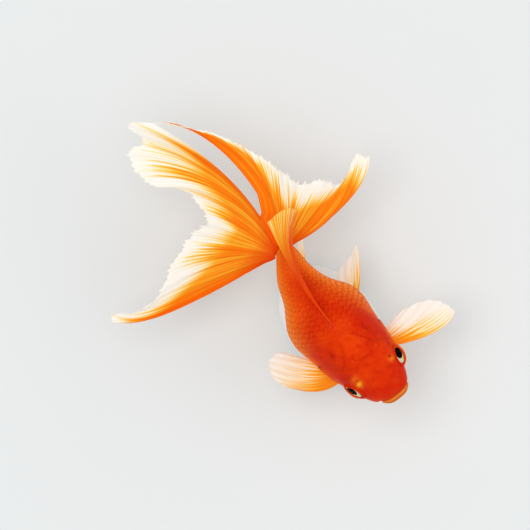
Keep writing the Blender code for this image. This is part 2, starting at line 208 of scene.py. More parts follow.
TAIL_RIGHT = Fin("tail_fin_right", (88.5, -0.6, 6.0), (87.0, -3.6, -5.0), (
    Ray(15, 25, 85.5, -45, -32, 11),
    Ray(14, 20, 96.5, -52, -24),
    Ray(14, 18, 84.5, -53, -21),
    Ray(15, 16, 88.5, -68, -18),
    Ray(13, 15, 72, -74, -19),
    Ray(2, 10, 51, -40, -9),
    Ray(-13, 5, 37.5, -27, -5),
    Ray(-34, -1, 41, -8, -6),
    Ray(-46, -6, 48.5, -17, -3),
    Ray(-53, -13, 61, -36, 6),
    Ray(-66, -15, 72.5, -16, 7),
    Ray(-76, -23, 86, -9, 25, 75),
    Ray(-83, -19, 85, 9, 17, 37),
))
TAIL_LEFT = Fin("tail_fin_left", (88.5, 1.4, 6.0), (87.0, 5.4, -5.0), (
    Ray(23, 33, 91.5, -51, -41, -33),
    Ray(36, 30, 75.5, -67, -24),
    Ray(30, 25, 55, -28, -12),
    Ray(29, 22, 41.5, 3, -5),
    Ray(44, 15, 36, -12, -4),
    Ray(45, 8, 31, 10, -8),
    Ray(68, -2, 37.5, 5, -10),
    Ray(82, -10, 40.5, -7, -4),
    Ray(107, -15, 56.5, -66, 10),
    Ray(101, -19, 58.5, -32, 18, -34),
))
# How each fin is dressed: its fine rays; where its colour starts to fade, as shares of its
# length, at even places across the fan, and over what share it fades; how pale it gets; how far
# out the red of its root runs; how deeply, in mm, its margin is cut; how far its colour gathers
# in bundles of rays rather than on single ones; and the CAD nodes that it replaces.
Dress = namedtuple("Dress", "fin rays fade spread pale red ragged bundled nodes")
FINS = (
    Dress(DORSAL, 18, (0.9, 0.45, 0.30), 0.6, 0.28, 1.1, 0.5, 0.5, ("dorsal_fin",)),
    Dress(PECTORAL_LEFT, 15, (0.36, -0.04, -0.24, -0.32, -0.34), 1.0, 1.0, 0.05, 1.3, 0.2,
          ("pectoral_fin_left",)),
    Dress(PECTORAL_RIGHT, 16, (0.45, 0.16, 0.04, 0.02, 0.08), 1.0, 1.0, 0.08, 1.3, 0.2,
          ("pectoral_fin_right",)),
    Dress(PELVIC_LEFT, 8, (0.30, -0.10, -0.26), 0.85, 1.0, 0.08, 0.9, 0.1, ("pelvic_fin_left",)),
    Dress(PELVIC_RIGHT, 8, (0.30, -0.10, -0.26), 0.85, 1.0, 0.08, 0.9, 0.1, ("pelvic_fin_right",)),
    Dress(ANAL_LEFT, 8, (0.5, 0.3, 0.2), 0.8, 1.0, 0.12, 0.8, 0.1, ("anal_fin_left",)),
    Dress(ANAL_RIGHT, 8, (0.5, 0.3, 0.2), 0.8, 1.0, 0.12, 0.8, 0.1, ("anal_fin_right",)),
    Dress(TAIL_LEFT, 30, (1.05, 1.0, 0.78, 0.52, 0.43, 0.44, 0.53, 0.66, 0.72, 0.62),
          0.50, 1.0, 0.27, 2.4, 1.0, ("tail_fin_upper_left", "tail_fin_lower_left")),
    Dress(TAIL_RIGHT, 36,
          (0.56, 0.60, 0.60, 0.55, 0.51, 0.54, 0.53, 0.52, 0.49, 0.48, 0.54, 0.66, 0.76),
          0.46, 1.0, 0.27, 2.4, 1.0, ("tail_fin_upper_right", "tail_fin_lower_right")),
)
# The web that joins the two upper tail lobes near the body: at these places out along the left
# one's first ray, how far that ray is drawn over to the right one's.
WEB_OUT = (0.0, 0.03, 0.205, 0.235, 0.28, 0.33)
WEB_ACROSS = (0.0, 1.15, 1.15, 0.55, 0.28, 0.0)

# How deep the fine relief of each finish is.
SKIN_RELIEF, SCALE_RELIEF, FIN_RELIEF, IRIS_RELIEF = 0.12, 0.05, 0.06, 0.06
ENAMEL_RELIEF, STEEL_RELIEF = 0.04, 0.02

# Numbers of faces: round the skin; along and between the rays of a fin; round a lid, over its
# top and along its floor; round an eye, down it, down its front, and down a cornea's.
SKIN_COLUMNS = 336
FIN_ROWS, QUICK_FIN_ROWS, FACES_PER_RAY = 64, 36, 8
LID_COLUMNS, LID_ARCH, LID_FLOOR = 120, 14, 4
EYE_COLUMNS, EYE_ROWS, EYE_FRONT, CORNEA_ROWS = 72, 60, 44, 24
THICKNESS_STEPS = 40  # levels of a fin's thickness from nothing to that of its root
RAY_STEPS = 48  # short straight moves that make up a ray
CURL_POWER = 6  # how late a ray curls
SCALE_CREASE, FIN_CREASE = math.radians(50), math.radians(65)  # edges sharper than this stay sharp

# Where the scales lie along the fish: their first row starts this far behind the gill cover, or
# for the back at the end of the skull, but never before the breast. DEEPEST is where the rows
# are evenly spaced round the body.
BEHIND_GILL, BEHIND_SKULL, BREAST, LAST_SCALE, DEEPEST = 4.3, 38.2, 27.5, 88.4, 45.0
BODY_LENGTH = 92.0

# The stage, in metres: each light's place and width, the spot that they point at, where over
# the fish the camera hangs, and the direction on the floor that is to the right in its view.
LIGHTS = {"key": ((-0.16, 0.20, 1.25), 0.7), "fill": ((0.75, -0.45, 0.8), 1.0)}
LIT_SPOT = (0, 0.03, 0.06)
CAMERA_OVER, CAMERA_RIGHT = (-0.0074, 0.0418), (0.785, -0.62)


def setting(name, about, default):
    """A length, given in millimetres and kept in metres."""
    return FloatProperty(
        name=name, description=about, default=default * MM, min=0, unit="LENGTH", precision=5
    )


def shade(name, about, default):
    """A colour, linear, shown as a swatch in the sidebar."""
    return FloatVectorProperty(
        name=name, description=about, default=default, subtype="COLOR", size=3, min=0, max=1
    )


class GOLDFISH_PG_body(PropertyGroup):
    skin_depth: setting("Skin depth", "How far the skin lies inside the solids", 0.35)
    scale_rows: IntProperty(
        name="Scale rows", description="Rows of scales right round the body", default=38, min=12
    )
    scale_step: setting("Scale step", "From one scale to the next in a row", 2.75)
    scale_lift: setting("Scale lift", "How far a scale's free edge stands off its root", 0.40)
    scale_thickness: setting("Scale thickness", "Thickness of one scale", 0.05)
    back: shade("Back", "Deep red-orange of the back and head", (0.63, 0.016, 0.0004))
    # Also used as a painted highlight on the crown.
    back_light: shade("Back, lighter", "Brighter clouds on the back", (0.75, 0.042, 0.0007))
    flank: shade("Flank", "Orange of the sides", (1.0, 0.185, 0.004))
    belly: shade("Belly", "Pale gold of the belly", (0.90, 0.46, 0.16))
    lip: shade("Lip", "Tan orange of the lips", (0.62, 0.115, 0.002))
    # Dark red of the skull seams, also used as painted shade in folds, creases, slits, pits,
    # blotches and along scale edges.
    seam: shade("Seam", "Dark red in folds and skull seams", (0.40, 0.005, 0.0003))
    gold: shade("Gold", "Gold on the tail stalk and the sides before it", (0.93, 0.34, 0.03))
    # Painted highlights: the glints on the head and the upper flank.
    glint: shade("Glint", "Small bright flecks on the head", (1.0, 0.24, 0.005))
    scale_shine: shade("Scale shine", "Gleam near a scale's free edge", (1.0, 0.36, 0.02))
    # Painted highlight along the upper lip.
    lip_line: shade("Lip line", "Pale line along the upper lip", (0.76, 0.36, 0.10))
    # Painted highlight on the nostril flaps.
    nostril: shade("Nostril", "Flap of a nostril", (1.0, 0.40, 0.02))
    # Painted shade: inside the mouth and over the top of each lid's edge.
    mouth: shade("Mouth", "Inside of the mouth", (0.10, 0.006, 0.003))


class GOLDFISH_PG_eyes(PropertyGroup):
    lid_radius: setting("Lid radius", "Radius of the flesh round the eyeball", 4.95)
    lid_width: setting("Lid width", "Width of the fold of skin round the eye", 1.15)
    lid_height: setting("Lid height", "How far that fold stands up", 0.42)
    pupil_radius: setting("Pupil radius", "Radius of the pupil", 2.75)
    pupil_shift: setting("Pupil shift", "How far the pupil sits back in the iris", 0.85)
    iris_plane: setting("Iris plane", "Distance of the iris from the eye's centre", 2.0)
    iris_dome: setting("Iris dome", "How far the iris's middle stands above its rim", 0.25)
    iris_radius: setting("Iris radius", "Radius of the iris across its rim", 4.25)
    pupil_dome: setting("Pupil dome", "How far the pupil bulges from the iris", 0.3)
    cornea_dome: setting("Cornea dome", "How far the cornea stands above the iris's rim", 0.7)
    iris: shade("Iris", "Cream gold of the iris", (0.70, 0.47, 0.22))
    iris_pale: shade("Iris, pale", "Greenish white of the iris's upper part", (0.62, 0.66, 0.46))
    fleck: shade("Fleck", "Amber flecks in the iris", (0.72, 0.30, 0.05))
    iris_rim: shade("Iris rim", "Dark outer rim of the iris", (0.20, 0.045, 0.01))
    iris_ring: shade("Iris ring", "Gold ring round the pupil", (0.85, 0.66, 0.28))
    pupil: shade("Pupil", "The pupil", (0.0006, 0.0004, 0.0005))


class GOLDFISH_PG_fins(PropertyGroup):
    root_thickness: setting("Root thickness", "Thickness of a fin where it leaves the body", 2.0)
    ray_thickness: setting("Ray thickness", "Thickness of a fin at a ray", 0.55)
    web_thickness: setting("Web thickness", "Thickness of the web between rays", 0.22)
    pleat: setting("Pleat", "How far the web swings to each side between the rays", 0.18)
    root: shade("Root", "Red-orange of the fins at the body", (0.80, 0.058, 0.0009))
    deep: shade("Deep", "Deep orange of the rays near the body", (0.90, 0.150, 0.002))
    orange: shade("Orange", "Orange of the rays and web", (0.91, 0.235, 0.006))
    yellow: shade("Yellow", "Yellow-orange of the web", (0.94, 0.46, 0.03))
    straw: shade("Straw", "Straw of the web as it pales", (0.95, 0.66, 0.22))
    ivory: shade("Ivory", "Ivory of the web near its margin", (0.965, 0.84, 0.58))
    cream: shade("Cream", "Cream of the faded web", (0.985, 0.94, 0.85))


class GOLDFISH_PG_stand(PropertyGroup):
    enamel: shade("Enamel", "White enamel of the base", (0.72, 0.73, 0.72))
    enamel_light: shade("Enamel, lighter", "Paler clouds in the enamel", (0.76, 0.77, 0.76))
    steel: shade("Steel", "Steel of the rod and collar", (0.42, 0.42, 0.43))
    steel_light: shade("Steel, lighter", "Streaks of the brushing", (0.60, 0.60, 0.61))


class GOLDFISH_PG_stage(PropertyGroup):
    floor: shade("Floor", "The floor", (0.738, 0.752, 0.742))
    floor_light: shade("Floor, lighter", "Paler clouds on the floor", (0.757, 0.772, 0.762))
    sky_colour: shade("Sky colour", "Colour of the light all round", (0.96, 0.98, 1.0))
    camera_height: setting("Camera height", "Height of the camera above the fish's axis", 3000)
    view_width: setting("View width", "Width of the view at the fish's axis", 243.8)
    floor_size: setting("Floor size", "Half width of the floor", 4000)
    key: FloatProperty(
        name="Key", description="Power of the main light", default=4.7, unit="POWER"
    )
    fill: FloatProperty(
        name="Fill", description="Power of the fill light", default=2.0, unit="POWER"
    )
    sky: FloatProperty(name="Sky", description="Strength of the light all round", default=0.80)


GROUPS = {
    "goldfish_body": GOLDFISH_PG_body,
    "goldfish_eyes": GOLDFISH_PG_eyes,
    "goldfish_fins": GOLDFISH_PG_fins,
    "goldfish_stand": GOLDFISH_PG_stand,
    "goldfish_stage": GOLDFISH_PG_stage,
}


def in_mm(group):
    """A group's values as plain numbers: its lengths in millimetres, its colours as tuples."""
    values = {}
    for key in group.__annotations__:
        value, kind = getattr(group, key), group.bl_rna.properties[key]
        if kind.unit == "LENGTH":
            value = round(value / MM, 4)
        elif kind.subtype == "COLOR":
            value = tuple(value)
        values[key] = value
    return SimpleNamespace(**values)


# ---------------------------------------------------------------- materials

class Value:
    """A socket of a finish, with arithmetic that adds Math nodes."""

    def __init__(self, finish, socket):
        self.finish, self.socket = finish, socket

    def math(self, operation, *others, clamp=False):
        """A Math node of this value and others."""
        settings = {"operation": operation, "use_clamp": clamp}
        return self.finish.node("ShaderNodeMath", settings, dict(enumerate((self, *others))))

    def __add__(self, other):
        return self.math("ADD", other)

    __radd__ = __add__

    def __mul__(self, other):
        return self.math("MULTIPLY", other)

    __rmul__ = __mul__

    def __sub__(self, other):
        return self.math("SUBTRACT", other)

    def __rsub__(self, other):
        return self.finish.node("ShaderNodeMath", {"operation": "SUBTRACT"}, {0: other, 1: self})

    def __pow__(self, other):
        return self.math("POWER", other)

    def clamped(self):
        """This value, held from 0 to 1."""
        return self.math("ADD", 0.0, clamp=True)

    def between(self, low, high):
        """0 below low, 1 above high, and a smooth step from one to the other."""
        return self.finish.node(
            "ShaderNodeMapRange", {"interpolation_type": "SMOOTHSTEP"}, {0: self, 1: low, 2: high}
        )


class Finish:
    """A material made of nodes."""

    def __init__(self, name):
        self.material = bpy.data.materials.new(name)
        self.material.use_nodes = True
        self.tree = self.material.node_tree
        self.tree.nodes.clear()

    def node(self, kind, settings=None, inputs=None, out=0):
        """A new node, its settings made first, then its sockets. Gives one of its outputs."""
        made = self.tree.nodes.new(kind)
        for name, value in (settings or {}).items():
            if name == "stops":
                bands = made.color_ramp.elements
                while len(bands) < len(value):
                    bands.new(0.5)
                for band, (place, colour) in zip(bands, value):
                    band.position, band.color = place, (*colour, 1)
            else:
                setattr(made, name, value)
        for key, value in (inputs or {}).items():
            if isinstance(value, Value):
                self.tree.links.new(value.socket, made.inputs[key])
            else:
                made.inputs[key].default_value = value
        return Value(self, made.outputs[out]) if made.outputs else None

    def attribute(self, name):
        """A value that the mesh carries."""
        return self.node("ShaderNodeAttribute", {"attribute_name": name}, out="Fac")

    def object_place(self):
        """The place on the model, in metres."""
        return self.node("ShaderNodeTexCoord", out="Object")

    def noise(self, vector, scale, detail=2.0, roughness=0.5):
        """Soft noise from 0 to 1, with this many waves to a metre, or to a unit of the vector."""
        inputs = {"Vector": vector, "Scale": scale, "Detail": detail, "Roughness": roughness}
        return self.node("ShaderNodeTexNoise", None, inputs, out="Fac")

    def stretched(self, vector, factors):
        """A vector with each of its axes multiplied."""
        settings = {"operation": "MULTIPLY"}
        return self.node("ShaderNodeVectorMath", settings, {0: vector, 1: factors})

    def mix(self, share, under, over):
        """One colour over another by a share from 0 to 1."""
        settings = {"data_type": "RGBA", "clamp_factor": True}
        under = under if isinstance(under, Value) else (*under, 1)
        over = over if isinstance(over, Value) else (*over, 1)
        return self.node("ShaderNodeMix", settings, {0: share, 6: under, 7: over}, out=2)

    def ramp(self, share, stops):
        """A colour that runs through stops, each a place from 0 to 1 and its colour."""
        return self.node("ShaderNodeValToRGB", {"stops": stops}, {0: share})

    def bump(self, height, depth):
        """Relief of a depth in millimetres."""
        inputs = {"Height": height, "Distance": depth * MM, "Strength": 1.0}
        return self.node("ShaderNodeBump", None, inputs, out="Normal")

    def principled(self, **inputs):
        """The main shader, its sockets named with _ for a space."""
        named = {name.replace("_", " "): value for name, value in inputs.items()}
        if not isinstance(named["Base Color"], Value):
            named["Base Color"] = (*named["Base Color"], 1)
        return self.node("ShaderNodeBsdfPrincipled", None, named)

    def mixed(self, share, first, second):
        """One shader over another by a share from 0 to 1."""
        return self.node("ShaderNodeMixShader", None, {0: share, 1: first, 2: second})

    def surface(self, shader):
        """The finished material."""
        self.node("ShaderNodeOutputMaterial", None, {"Surface": shader})
        return self.material


def hide_finish(name, body, scaly):
    """The fish's hide. Skin and scales carry the same markings, painted shade and painted highlights
    among them; scaly adds each scale's own.
    """
    made = Finish(name)
    spot = made.object_place()
    upness = made.attribute("upness")
    cloud = made.noise(spot, 90, 3.0, 0.55)
    grain = made.noise(spot, 700, 2.0)
    fine = made.noise(spot, 2600, 1.0)
    patch = (cloud - 0.5) * 0.22
    back = made.mix(made.noise(spot, 55, 2.0).between(0.38, 0.66), body.back, body.back_light)
    # Painted highlight: a lighter patch on the crown.
    back = made.mix(made.attribute("plate"), back, body.back_light)
    colour = made.mix((upness + patch).between(-0.30, 0.50), body.flank, back)
    colour = made.mix((upness + patch * 1.4).between(-0.85, -1.3), colour, body.belly)
    colour = made.mix(made.attribute("gold") * (cloud * 0.6 + 0.6), colour, body.gold)
    colour = made.mix(made.attribute("glint") * (cloud * 0.6 + 0.6), colour, body.glint)
    colour = made.mix(made.attribute("seam") * (cloud * 0.9 + 0.6), colour, body.seam)
    if scaly:
        edge = made.attribute("edge")
        tone = made.attribute("tone")
        low = 1 - upness.between(-0.2, 0.6) * 0.88
        colour = made.mix((1 - tone) * 0.14, colour, body.seam)
        # Painted sheen near each scale's free edge, and painted shadow along the edge itself, both
        # stronger low on the sides.
        shine = edge.between(0.45, 0.75) * edge.between(0.98, 0.80) * made.attribute("risen")
        colour = made.mix(shine * low * 0.26, colour, body.scale_shine)
        colour = made.mix(edge.between(0.90, 1.0) * (low * 0.17 + 0.05), colour, body.seam)
        # Growth rings along the free edge, and faint spokes.
        streak = made.attribute("streak")
        height = (edge * 8).math("PINGPONG", 0.5) * 0.35 + streak.math("PINGPONG", 1.0) * 0.12
        height = height + grain * 0.4
        rough = 0.34 + grain * 0.16
        depth = SCALE_RELIEF
    else:
        colour = made.mix(made.attribute("lip"), colour, body.lip)
        # Painted highlight along the upper lip and on the nostril flaps, and painted shade inside
        # the mouth.
        colour = made.mix(made.attribute("lip_line") * (grain + 0.4), colour, body.lip_line)
        colour = made.mix(made.attribute("spot") * (grain * 0.5 + 0.7), colour, body.nostril)
        colour = made.mix(made.attribute("inside"), colour, body.mouth)
        height = grain * 0.6 + fine * 0.3 + made.noise(spot, 260, 2.0) * 0.7
        rough = 0.38 + grain * 0.18
        depth = SKIN_RELIEF
    colour = made.mix((grain - 0.5) * 0.35, colour, body.flank)
    shader = made.principled(
        Base_Color=colour, Roughness=rough, IOR=1.33, Specular_IOR_Level=0.05,
        Coat_Weight=0.02, Coat_Roughness=0.12, Coat_IOR=1.3,
        Normal=made.bump(height, depth),
    )
    return made.surface(shader)


def fin_finish(dress, fins):
    """A fin: its pigment thins from the body out, first between the rays and last along them."""
    made = Finish(dress.fin.name)
    rays, bundled = dress.rays, dress.bundled
    uv = made.node("ShaderNodeUVMap", {"uv_map": "fan"})
    ray, fade, edge = made.attribute("ray"), made.attribute("fade"), made.attribute("edge")
    # Strands that run with the rays, in bundles and singly: stretched noise in the fan's own map.
    bundle = made.noise(made.stretched(uv, (rays * 0.5, 0.6, 1.0)), 1.0, 1.0)
    strand = made.noise(made.stretched(uv, (rays * 1.6, 1.2, 1.0)), 1.0, 3.0, 0.6)
    thin = made.noise(made.stretched(uv, (rays * 14.0, 4.0, 1.0)), 1.0, 2.0)
    mask = strand.between(0.38, 0.62) * 0.28
    mask = mask + ray * (0.72 - 0.38 * bundled) + bundle.between(0.40, 0.60) * (0.38 * bundled)
    swing = (0.46 + fade.between(0.0, 0.4) * 0.66) * (0.52 + 0.48 * bundled)
    pigment = (0.80 - fade * 0.92) + (mask - 0.5) * swing
    pigment = pigment * (1 - fade.between(0.70, 1.0) * (0.95 - mask * 0.4))
    pigment = pigment + edge * (1 - fade * 1.6).clamped() * 0.25
    pigment = pigment + (thin - 0.5) * 0.22
    pigment = pigment.math("MINIMUM", 0.68 + 0.32 * bundled)
    colour = made.ramp(pigment, (
        (0.06, fins.cream), (0.24, fins.ivory), (0.40, fins.straw),
        (0.58, fins.yellow), (0.80, fins.orange), (1.0, fins.deep),
    ))
    colour = made.mix(made.attribute("flush") ** 0.8, colour, fins.root)
    opaque = 1 - pigment.between(0.35, 0.0) * 0.16
    shader = made.principled(
        Base_Color=colour, Roughness=0.46 + thin * 0.2, IOR=1.36, Specular_IOR_Level=0.05,
        Alpha=opaque, Normal=made.bump(ray * 0.6 + thin * 0.5, FIN_RELIEF),
    )
    return made.surface(shader)


def eye_finish(name, eyes):
    """Iris and pupil, by place in the eye's own frame, which the mesh carries."""
    made = Finish(name)
    place = made.node("ShaderNodeAttribute", {"attribute_name": "eye_place"}, out="Vector")
    off, off_pupil = made.attribute("off_iris"), made.attribute("off_pupil")
    fleck = made.noise(made.stretched(place, (1.0, 1.0, 0.4)), 1.4, 4.0, 0.65)
    fine = made.noise(place, 9.0, 3.0)
    upper = made.attribute("upper")
    pale = (upper + (fleck - 0.5) * 0.9).between(0.05, 0.55)
    colour = made.mix(pale, eyes.iris, eyes.iris_pale)
    colour = made.mix(fine.between(0.5, 0.72) * 0.4, colour, eyes.fleck)
    colour = made.mix(off.between(0.86, 1.0), colour, eyes.iris_rim)
    ring = off_pupil.between(1.22, 1.06)
    colour = made.mix(ring * 0.8, colour, eyes.iris_ring)
    inside = off_pupil.between(1.03, 0.97)
    colour = made.mix(inside, colour, eyes.pupil)
    shader = made.principled(
        Base_Color=colour, Roughness=0.42 - inside * 0.2 + fine * 0.08,
        Metallic=(1 - inside) * 0.2, IOR=1.33, Specular_IOR_Level=0.02,
        Normal=made.bump(fleck, IRIS_RELIEF),
    )
    return made.surface(shader)


def cornea_finish(name):
    """Clear: nothing but its gloss shows."""
    made = Finish(name)
    clear = made.node("ShaderNodeBsdfTransparent")
    gloss = made.principled(Base_Color=(0.9, 0.9, 0.9), Roughness=0.02, IOR=1.38)
    share = made.node("ShaderNodeFresnel", None, {"IOR": 1.22})
    return made.surface(made.mixed((share * 0.1).math("MINIMUM", 0.0008), clear, gloss))


def enamel_finish(stand):
    """Satin white enamel with the faintest orange peel."""
    made = Finish("stand enamel")
    spot = made.object_place()
    peel = made.noise(spot, 900, 2.0)
    cloud = made.noise(spot, 60, 3.0)
    colour = made.mix(cloud.between(0.35, 0.7), stand.enamel, stand.enamel_light)
    shader = made.principled(
        Base_Color=colour, Roughness=0.40 + cloud * 0.12, IOR=1.45,
        Coat_Weight=0.15, Coat_Roughness=0.2, Normal=made.bump(peel, ENAMEL_RELIEF),
    )
    return made.surface(shader)


def steel_finish(stand):
    """Brushed steel, with its brushing running round the rod."""
    made = Finish("stand steel")
    brush = made.noise(made.stretched(made.object_place(), (60.0, 60.0, 4200.0)), 1.0, 3.0)
    colour = made.mix(brush, stand.steel, stand.steel_light)
    shader = made.principled(
        Base_Color=colour, Metallic=1.0, Roughness=0.22 + brush * 0.2,
        Normal=made.bump(brush, STEEL_RELIEF),
    )
    return made.surface(shader)


def floor_finish(stage):
    """Matt, and very faintly clouded."""
    made = Finish("floor")
    cloud = made.noise(made.object_place(), 6, 2.0)
    colour = made.mix(cloud, stage.floor, stage.floor_light)
    return made.surface(made.principled(Base_Color=colour, Roughness=0.85 + cloud * 0.1))


# ---------------------------------------------------------------- shapes

def in_frame(points):
    """Points of the fish's datum, in mm, as places in the model's frame, in metres."""
    points = np.asarray(points, float)
    return (points[..., [1, 0, 2]] + (-ROD_SIDE, -ROD_ALONG, AXIS_HEIGHT)) * MM


def bell(value, wide):
    """1 at 0, falling off smoothly by about wide."""
    return np.exp(-((value / wide) ** 2))


def step(value, low, high):
    """0 at low, 1 at high, and smooth between them. low may be the greater."""
    share = np.clip((value - low) / (high - low), 0, 1)
    return share * share * (3 - 2 * share)


def around(columns):
    """Evenly spaced turns."""
    return np.arange(columns) / columns * 2 * math.pi


def unit(vectors):
    """Vectors at a length of 1."""
    return vectors / np.maximum(np.linalg.norm(vectors, axis=-1, keepdims=True), 1e-9)


def through(rows, at):
    """A smooth curve through rows, at an array of fractional places."""
    rows, at = np.asarray(rows, float), np.atleast_1d(np.asarray(at, float))
    first = np.clip(np.floor(at).astype(int), 0, len(rows) - 2)
    share = (at - first).reshape(-1, *([1] * (rows.ndim - 1)))
    before, here = rows[np.maximum(first - 1, 0)], rows[first]
    there, after = rows[first + 1], rows[np.minimum(first + 2, len(rows) - 1)]
    return 0.5 * (
        2 * here
        + (there - before) * share
        + (2 * before - 5 * here + 4 * there - after) * share**2
        + (3 * here - before - 3 * there + after) * share**3
    )


def section_points(sections, turns):
    """Points (along, side, height) on an array of sections at turns round from the left side."""
    section = Section(*np.moveaxis(np.asarray(sections), -1, 0))
    across, up = np.cos(turns), np.sin(turns)
    power = 2 / np.where(up > 0, section.top_power, section.bottom_power)
    reach = np.where(up > 0, section.top, section.bottom) - section.widest
    side = section.centre + section.half_width * np.sign(across) * np.abs(across) ** power
    height = section.widest + reach * np.abs(up) ** power
    return np.stack(np.broadcast_arrays(section.along, side, height), -1)


def lip_points(lip, turns):
    """Points of a lip ring at turns round from the left corner of the mouth."""
    across = np.sign(np.cos(turns)) * np.abs(np.cos(turns)) ** 0.82
    up = np.abs(np.sin(turns)) ** 0.9
    above = np.sin(turns) > 0
    height = MOUTH_HEIGHT + (np.where(above, lip.upper, lip.lower) - MOUTH_HEIGHT) * up
    along = np.where(above, lip.upper_along, lip.lower_along)
    along = along + (lip.corner_along - along) * np.abs(across) ** LIP_BLUNT
    return np.stack([along, LIP_CENTRE + lip.half_width * across, height], -1)


DENSE_AT = np.linspace(0, len(SECTIONS) - 1, 2000)
DENSE_ALONG = through(SECTIONS, DENSE_AT)[:, 0]


def body_points(along, turns):
    """Points of the body's own surface at distances from the lips and turns round it."""
    at = np.interp(along, DENSE_ALONG, DENSE_AT)
    return section_points(through(SECTIONS, at.ravel()).reshape(*at.shape, 8), turns)


def body_normals(along, turns):
    """The body's outward directions at distances from the lips and turns round it."""
    small = 0.05
    back = body_points(along + small, turns) - body_points(along - small, turns)
    on = body_points(along, turns + small / 10) - body_points(along, turns - small / 10)
    return unit(np.cross(on, back))


def gill_edge(height):
    """How far back the gill cover reaches at a height."""
    low = 0.045 * (height + 3) ** 2
    high = 0.03 * (height + 3) ** 2
    return 34.4 - np.where(height < -3, low, high)


def line_distance(along, side, corners):
    """Distance from points seen from above to a line through corners."""
    spot = np.stack([along, side], -1)
    best = np.full(along.shape, 1e9)
    for start, end in zip(corners, corners[1:]):
        start, end = np.array(start), np.array(end)
        run = end - start
        share = np.clip(((spot - start) @ run) / (run @ run), 0, 1)
        best = np.minimum(best, np.linalg.norm(spot - start - share[..., None] * run, axis=-1))
    return best


def markings(points, turns):
    """What the hide carries at points of the body: one value from 0 to 1 for each marking, painted
    shade and painted highlights among them.
    """
    along, side = points[..., 0], points[..., 1]
    upness = np.sin(turns)
    above = step(upness, 0.32, 0.62)
    wander = 0.35 * np.sin(along * 2.3 + side * 1.1) + 0.25 * np.sin(side * 3.1 - along * 1.7)
    seam, glint = np.zeros(along.shape), np.zeros(along.shape)
    for dark, line in SEAMS:
        away = line_distance(along, side + 0.4 * wander, line)
        line_itself = (0.8 + 0.6 * wander) * bell(away, 0.62)
        seam = np.maximum(seam, dark * (line_itself + 0.35 * bell(away, 1.6)))
    # Painted shade in soft blotches.
    for spot_along, spot_side, wide, dark in SHADE_BLOTCHES:
        away = np.hypot(along - spot_along, (side - spot_side) * 1.3) + wander * min(wide, 2) * 0.3
        seam = seam + dark * bell(away, wide) * (1 - seam)
    # Painted highlights.
    for spot_along, spot_side, wide, bright in GLINTS:
        away = np.hypot(along - spot_along, side - spot_side)
        glint = np.maximum(glint, bright * bell(away, wide))
    seam, glint = seam * above, glint * step(upness, 0.05, 0.4)
    # A painted highlight on the crown.
    plate = bell(np.hypot((along - 33.0) * 0.7, side + 0.5), 3.2) * above * 0.7
    rear = step(along, 62, 88) * 0.3
    gold = bell(along - 62, 8) * bell(upness + 0.05, 0.4) * 0.5 + rear * (1 - above * 0.8)
    # Mottling over the brow and crown, in soft irregular patches.
    mottle = np.sin(along * 0.83 + 1.3 * np.sin(side * 0.71))
    mottle = mottle * np.sin(side * 0.64 + 1.1 * np.sin(along * 0.47))
    crown = above * step(along, 8, 16) * step(along, 42, 36)
    seam = seam + step(mottle, 0.25, 0.85) * 0.22 * crown * (1 - seam)
    return {
        "upness": upness - 0.22 * step(along, 60, 90) - 0.50 * step(along, 28, 58),
        "seam": seam,
        "plate": plate,
        "gold": np.clip(gold, 0, 1),
        "glint": np.clip(glint, 0, 1),
    }


def mesh_of(bm, name):
    """A mesh from a bmesh, which is freed."""
    mesh = bpy.data.meshes.new(name)
    bm.to_mesh(mesh)
    bm.free()
    return mesh


def flat_grid(columns, rows):
    """A flat grid from -1 to 1 each way."""
    bm = bmesh.new()
    bmesh.ops.create_grid(bm, x_segments=columns, y_segments=rows, size=1)
    return bm


def spots_of(mesh):
    """The places of a mesh's vertices."""
    spots = np.empty(len(mesh.vertices) * 3)
    mesh.vertices.foreach_get("co", spots)
    return spots.reshape(-1, 3)


def store(mesh, name, value):
    """Stores one number, or one vector, at each vertex."""
    value = np.asarray(value, float)
    vector = value.ndim == 2
    layer = mesh.attributes.new(name, "FLOAT_VECTOR" if vector else "FLOAT", "POINT")
    layer.data.foreach_set("vector" if vector else "value", value.ravel())


def unwrap(mesh, name, places):
    """A UV map from a place for each vertex."""
    loops = np.empty(len(mesh.loops), int)
    mesh.loops.foreach_get("vertex_index", loops)
    mesh.uv_layers.new(name=name).data.foreach_set("uv", places[loops].ravel())


def wrapped(name, points, values, ring=False):
    """A closed mesh that carries values, over rows of points in mm. A tube shrinks to a point at
    its first row and its last; a ring's last row goes on to its first."""
    rows, columns = len(points) if ring else len(points) - 1, points.shape[1]
    bm = flat_grid(columns, rows)
    for vert in bm.verts:
        turn, share = (vert.co.x + 1) * math.pi, (vert.co.y + 1) / 2
        if ring:
            wide, level = 2 + math.cos(share * 2 * math.pi), math.sin(share * 2 * math.pi)
        else:
            level = share * rows
            wide = 1 if 0.5 < level < rows - 0.5 else 0
        vert.co = wide * math.cos(turn), wide * math.sin(turn), level
    bmesh.ops.remove_doubles(bm, verts=bm.verts, dist=1e-4)
    x, y, z = np.array([vert.co for vert in bm.verts]).T
    column = np.rint(np.arctan2(y, x) / (2 * math.pi) * columns).astype(int) % columns
    row = np.rint(z).astype(int)
    if ring:
        swing = np.arctan2(z, np.hypot(x, y) - 2)
        row = np.rint(swing / (2 * math.pi) * rows).astype(int) % rows
    for vert, spot in zip(bm.verts, in_frame(points[row, column])):
        vert.co = spot
    bmesh.ops.recalc_face_normals(bm, faces=bm.faces)
    mesh = mesh_of(bm, name)
    for key, value in values.items():
        store(mesh, key, value[row, column])
    mesh.shade_smooth()
    mesh.update()
    return mesh


def piece(name, mesh, material, slot, *nodes):
    """A finished piece: it rides on the model's one body and stands for CAD nodes."""
    obj = bpy.data.objects.new(name, mesh)
    bpy.context.scene.collection.objects.link(obj)
    mesh.materials.append(material)
    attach(obj, "root")
    if nodes:
        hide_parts(*nodes)
    return obj


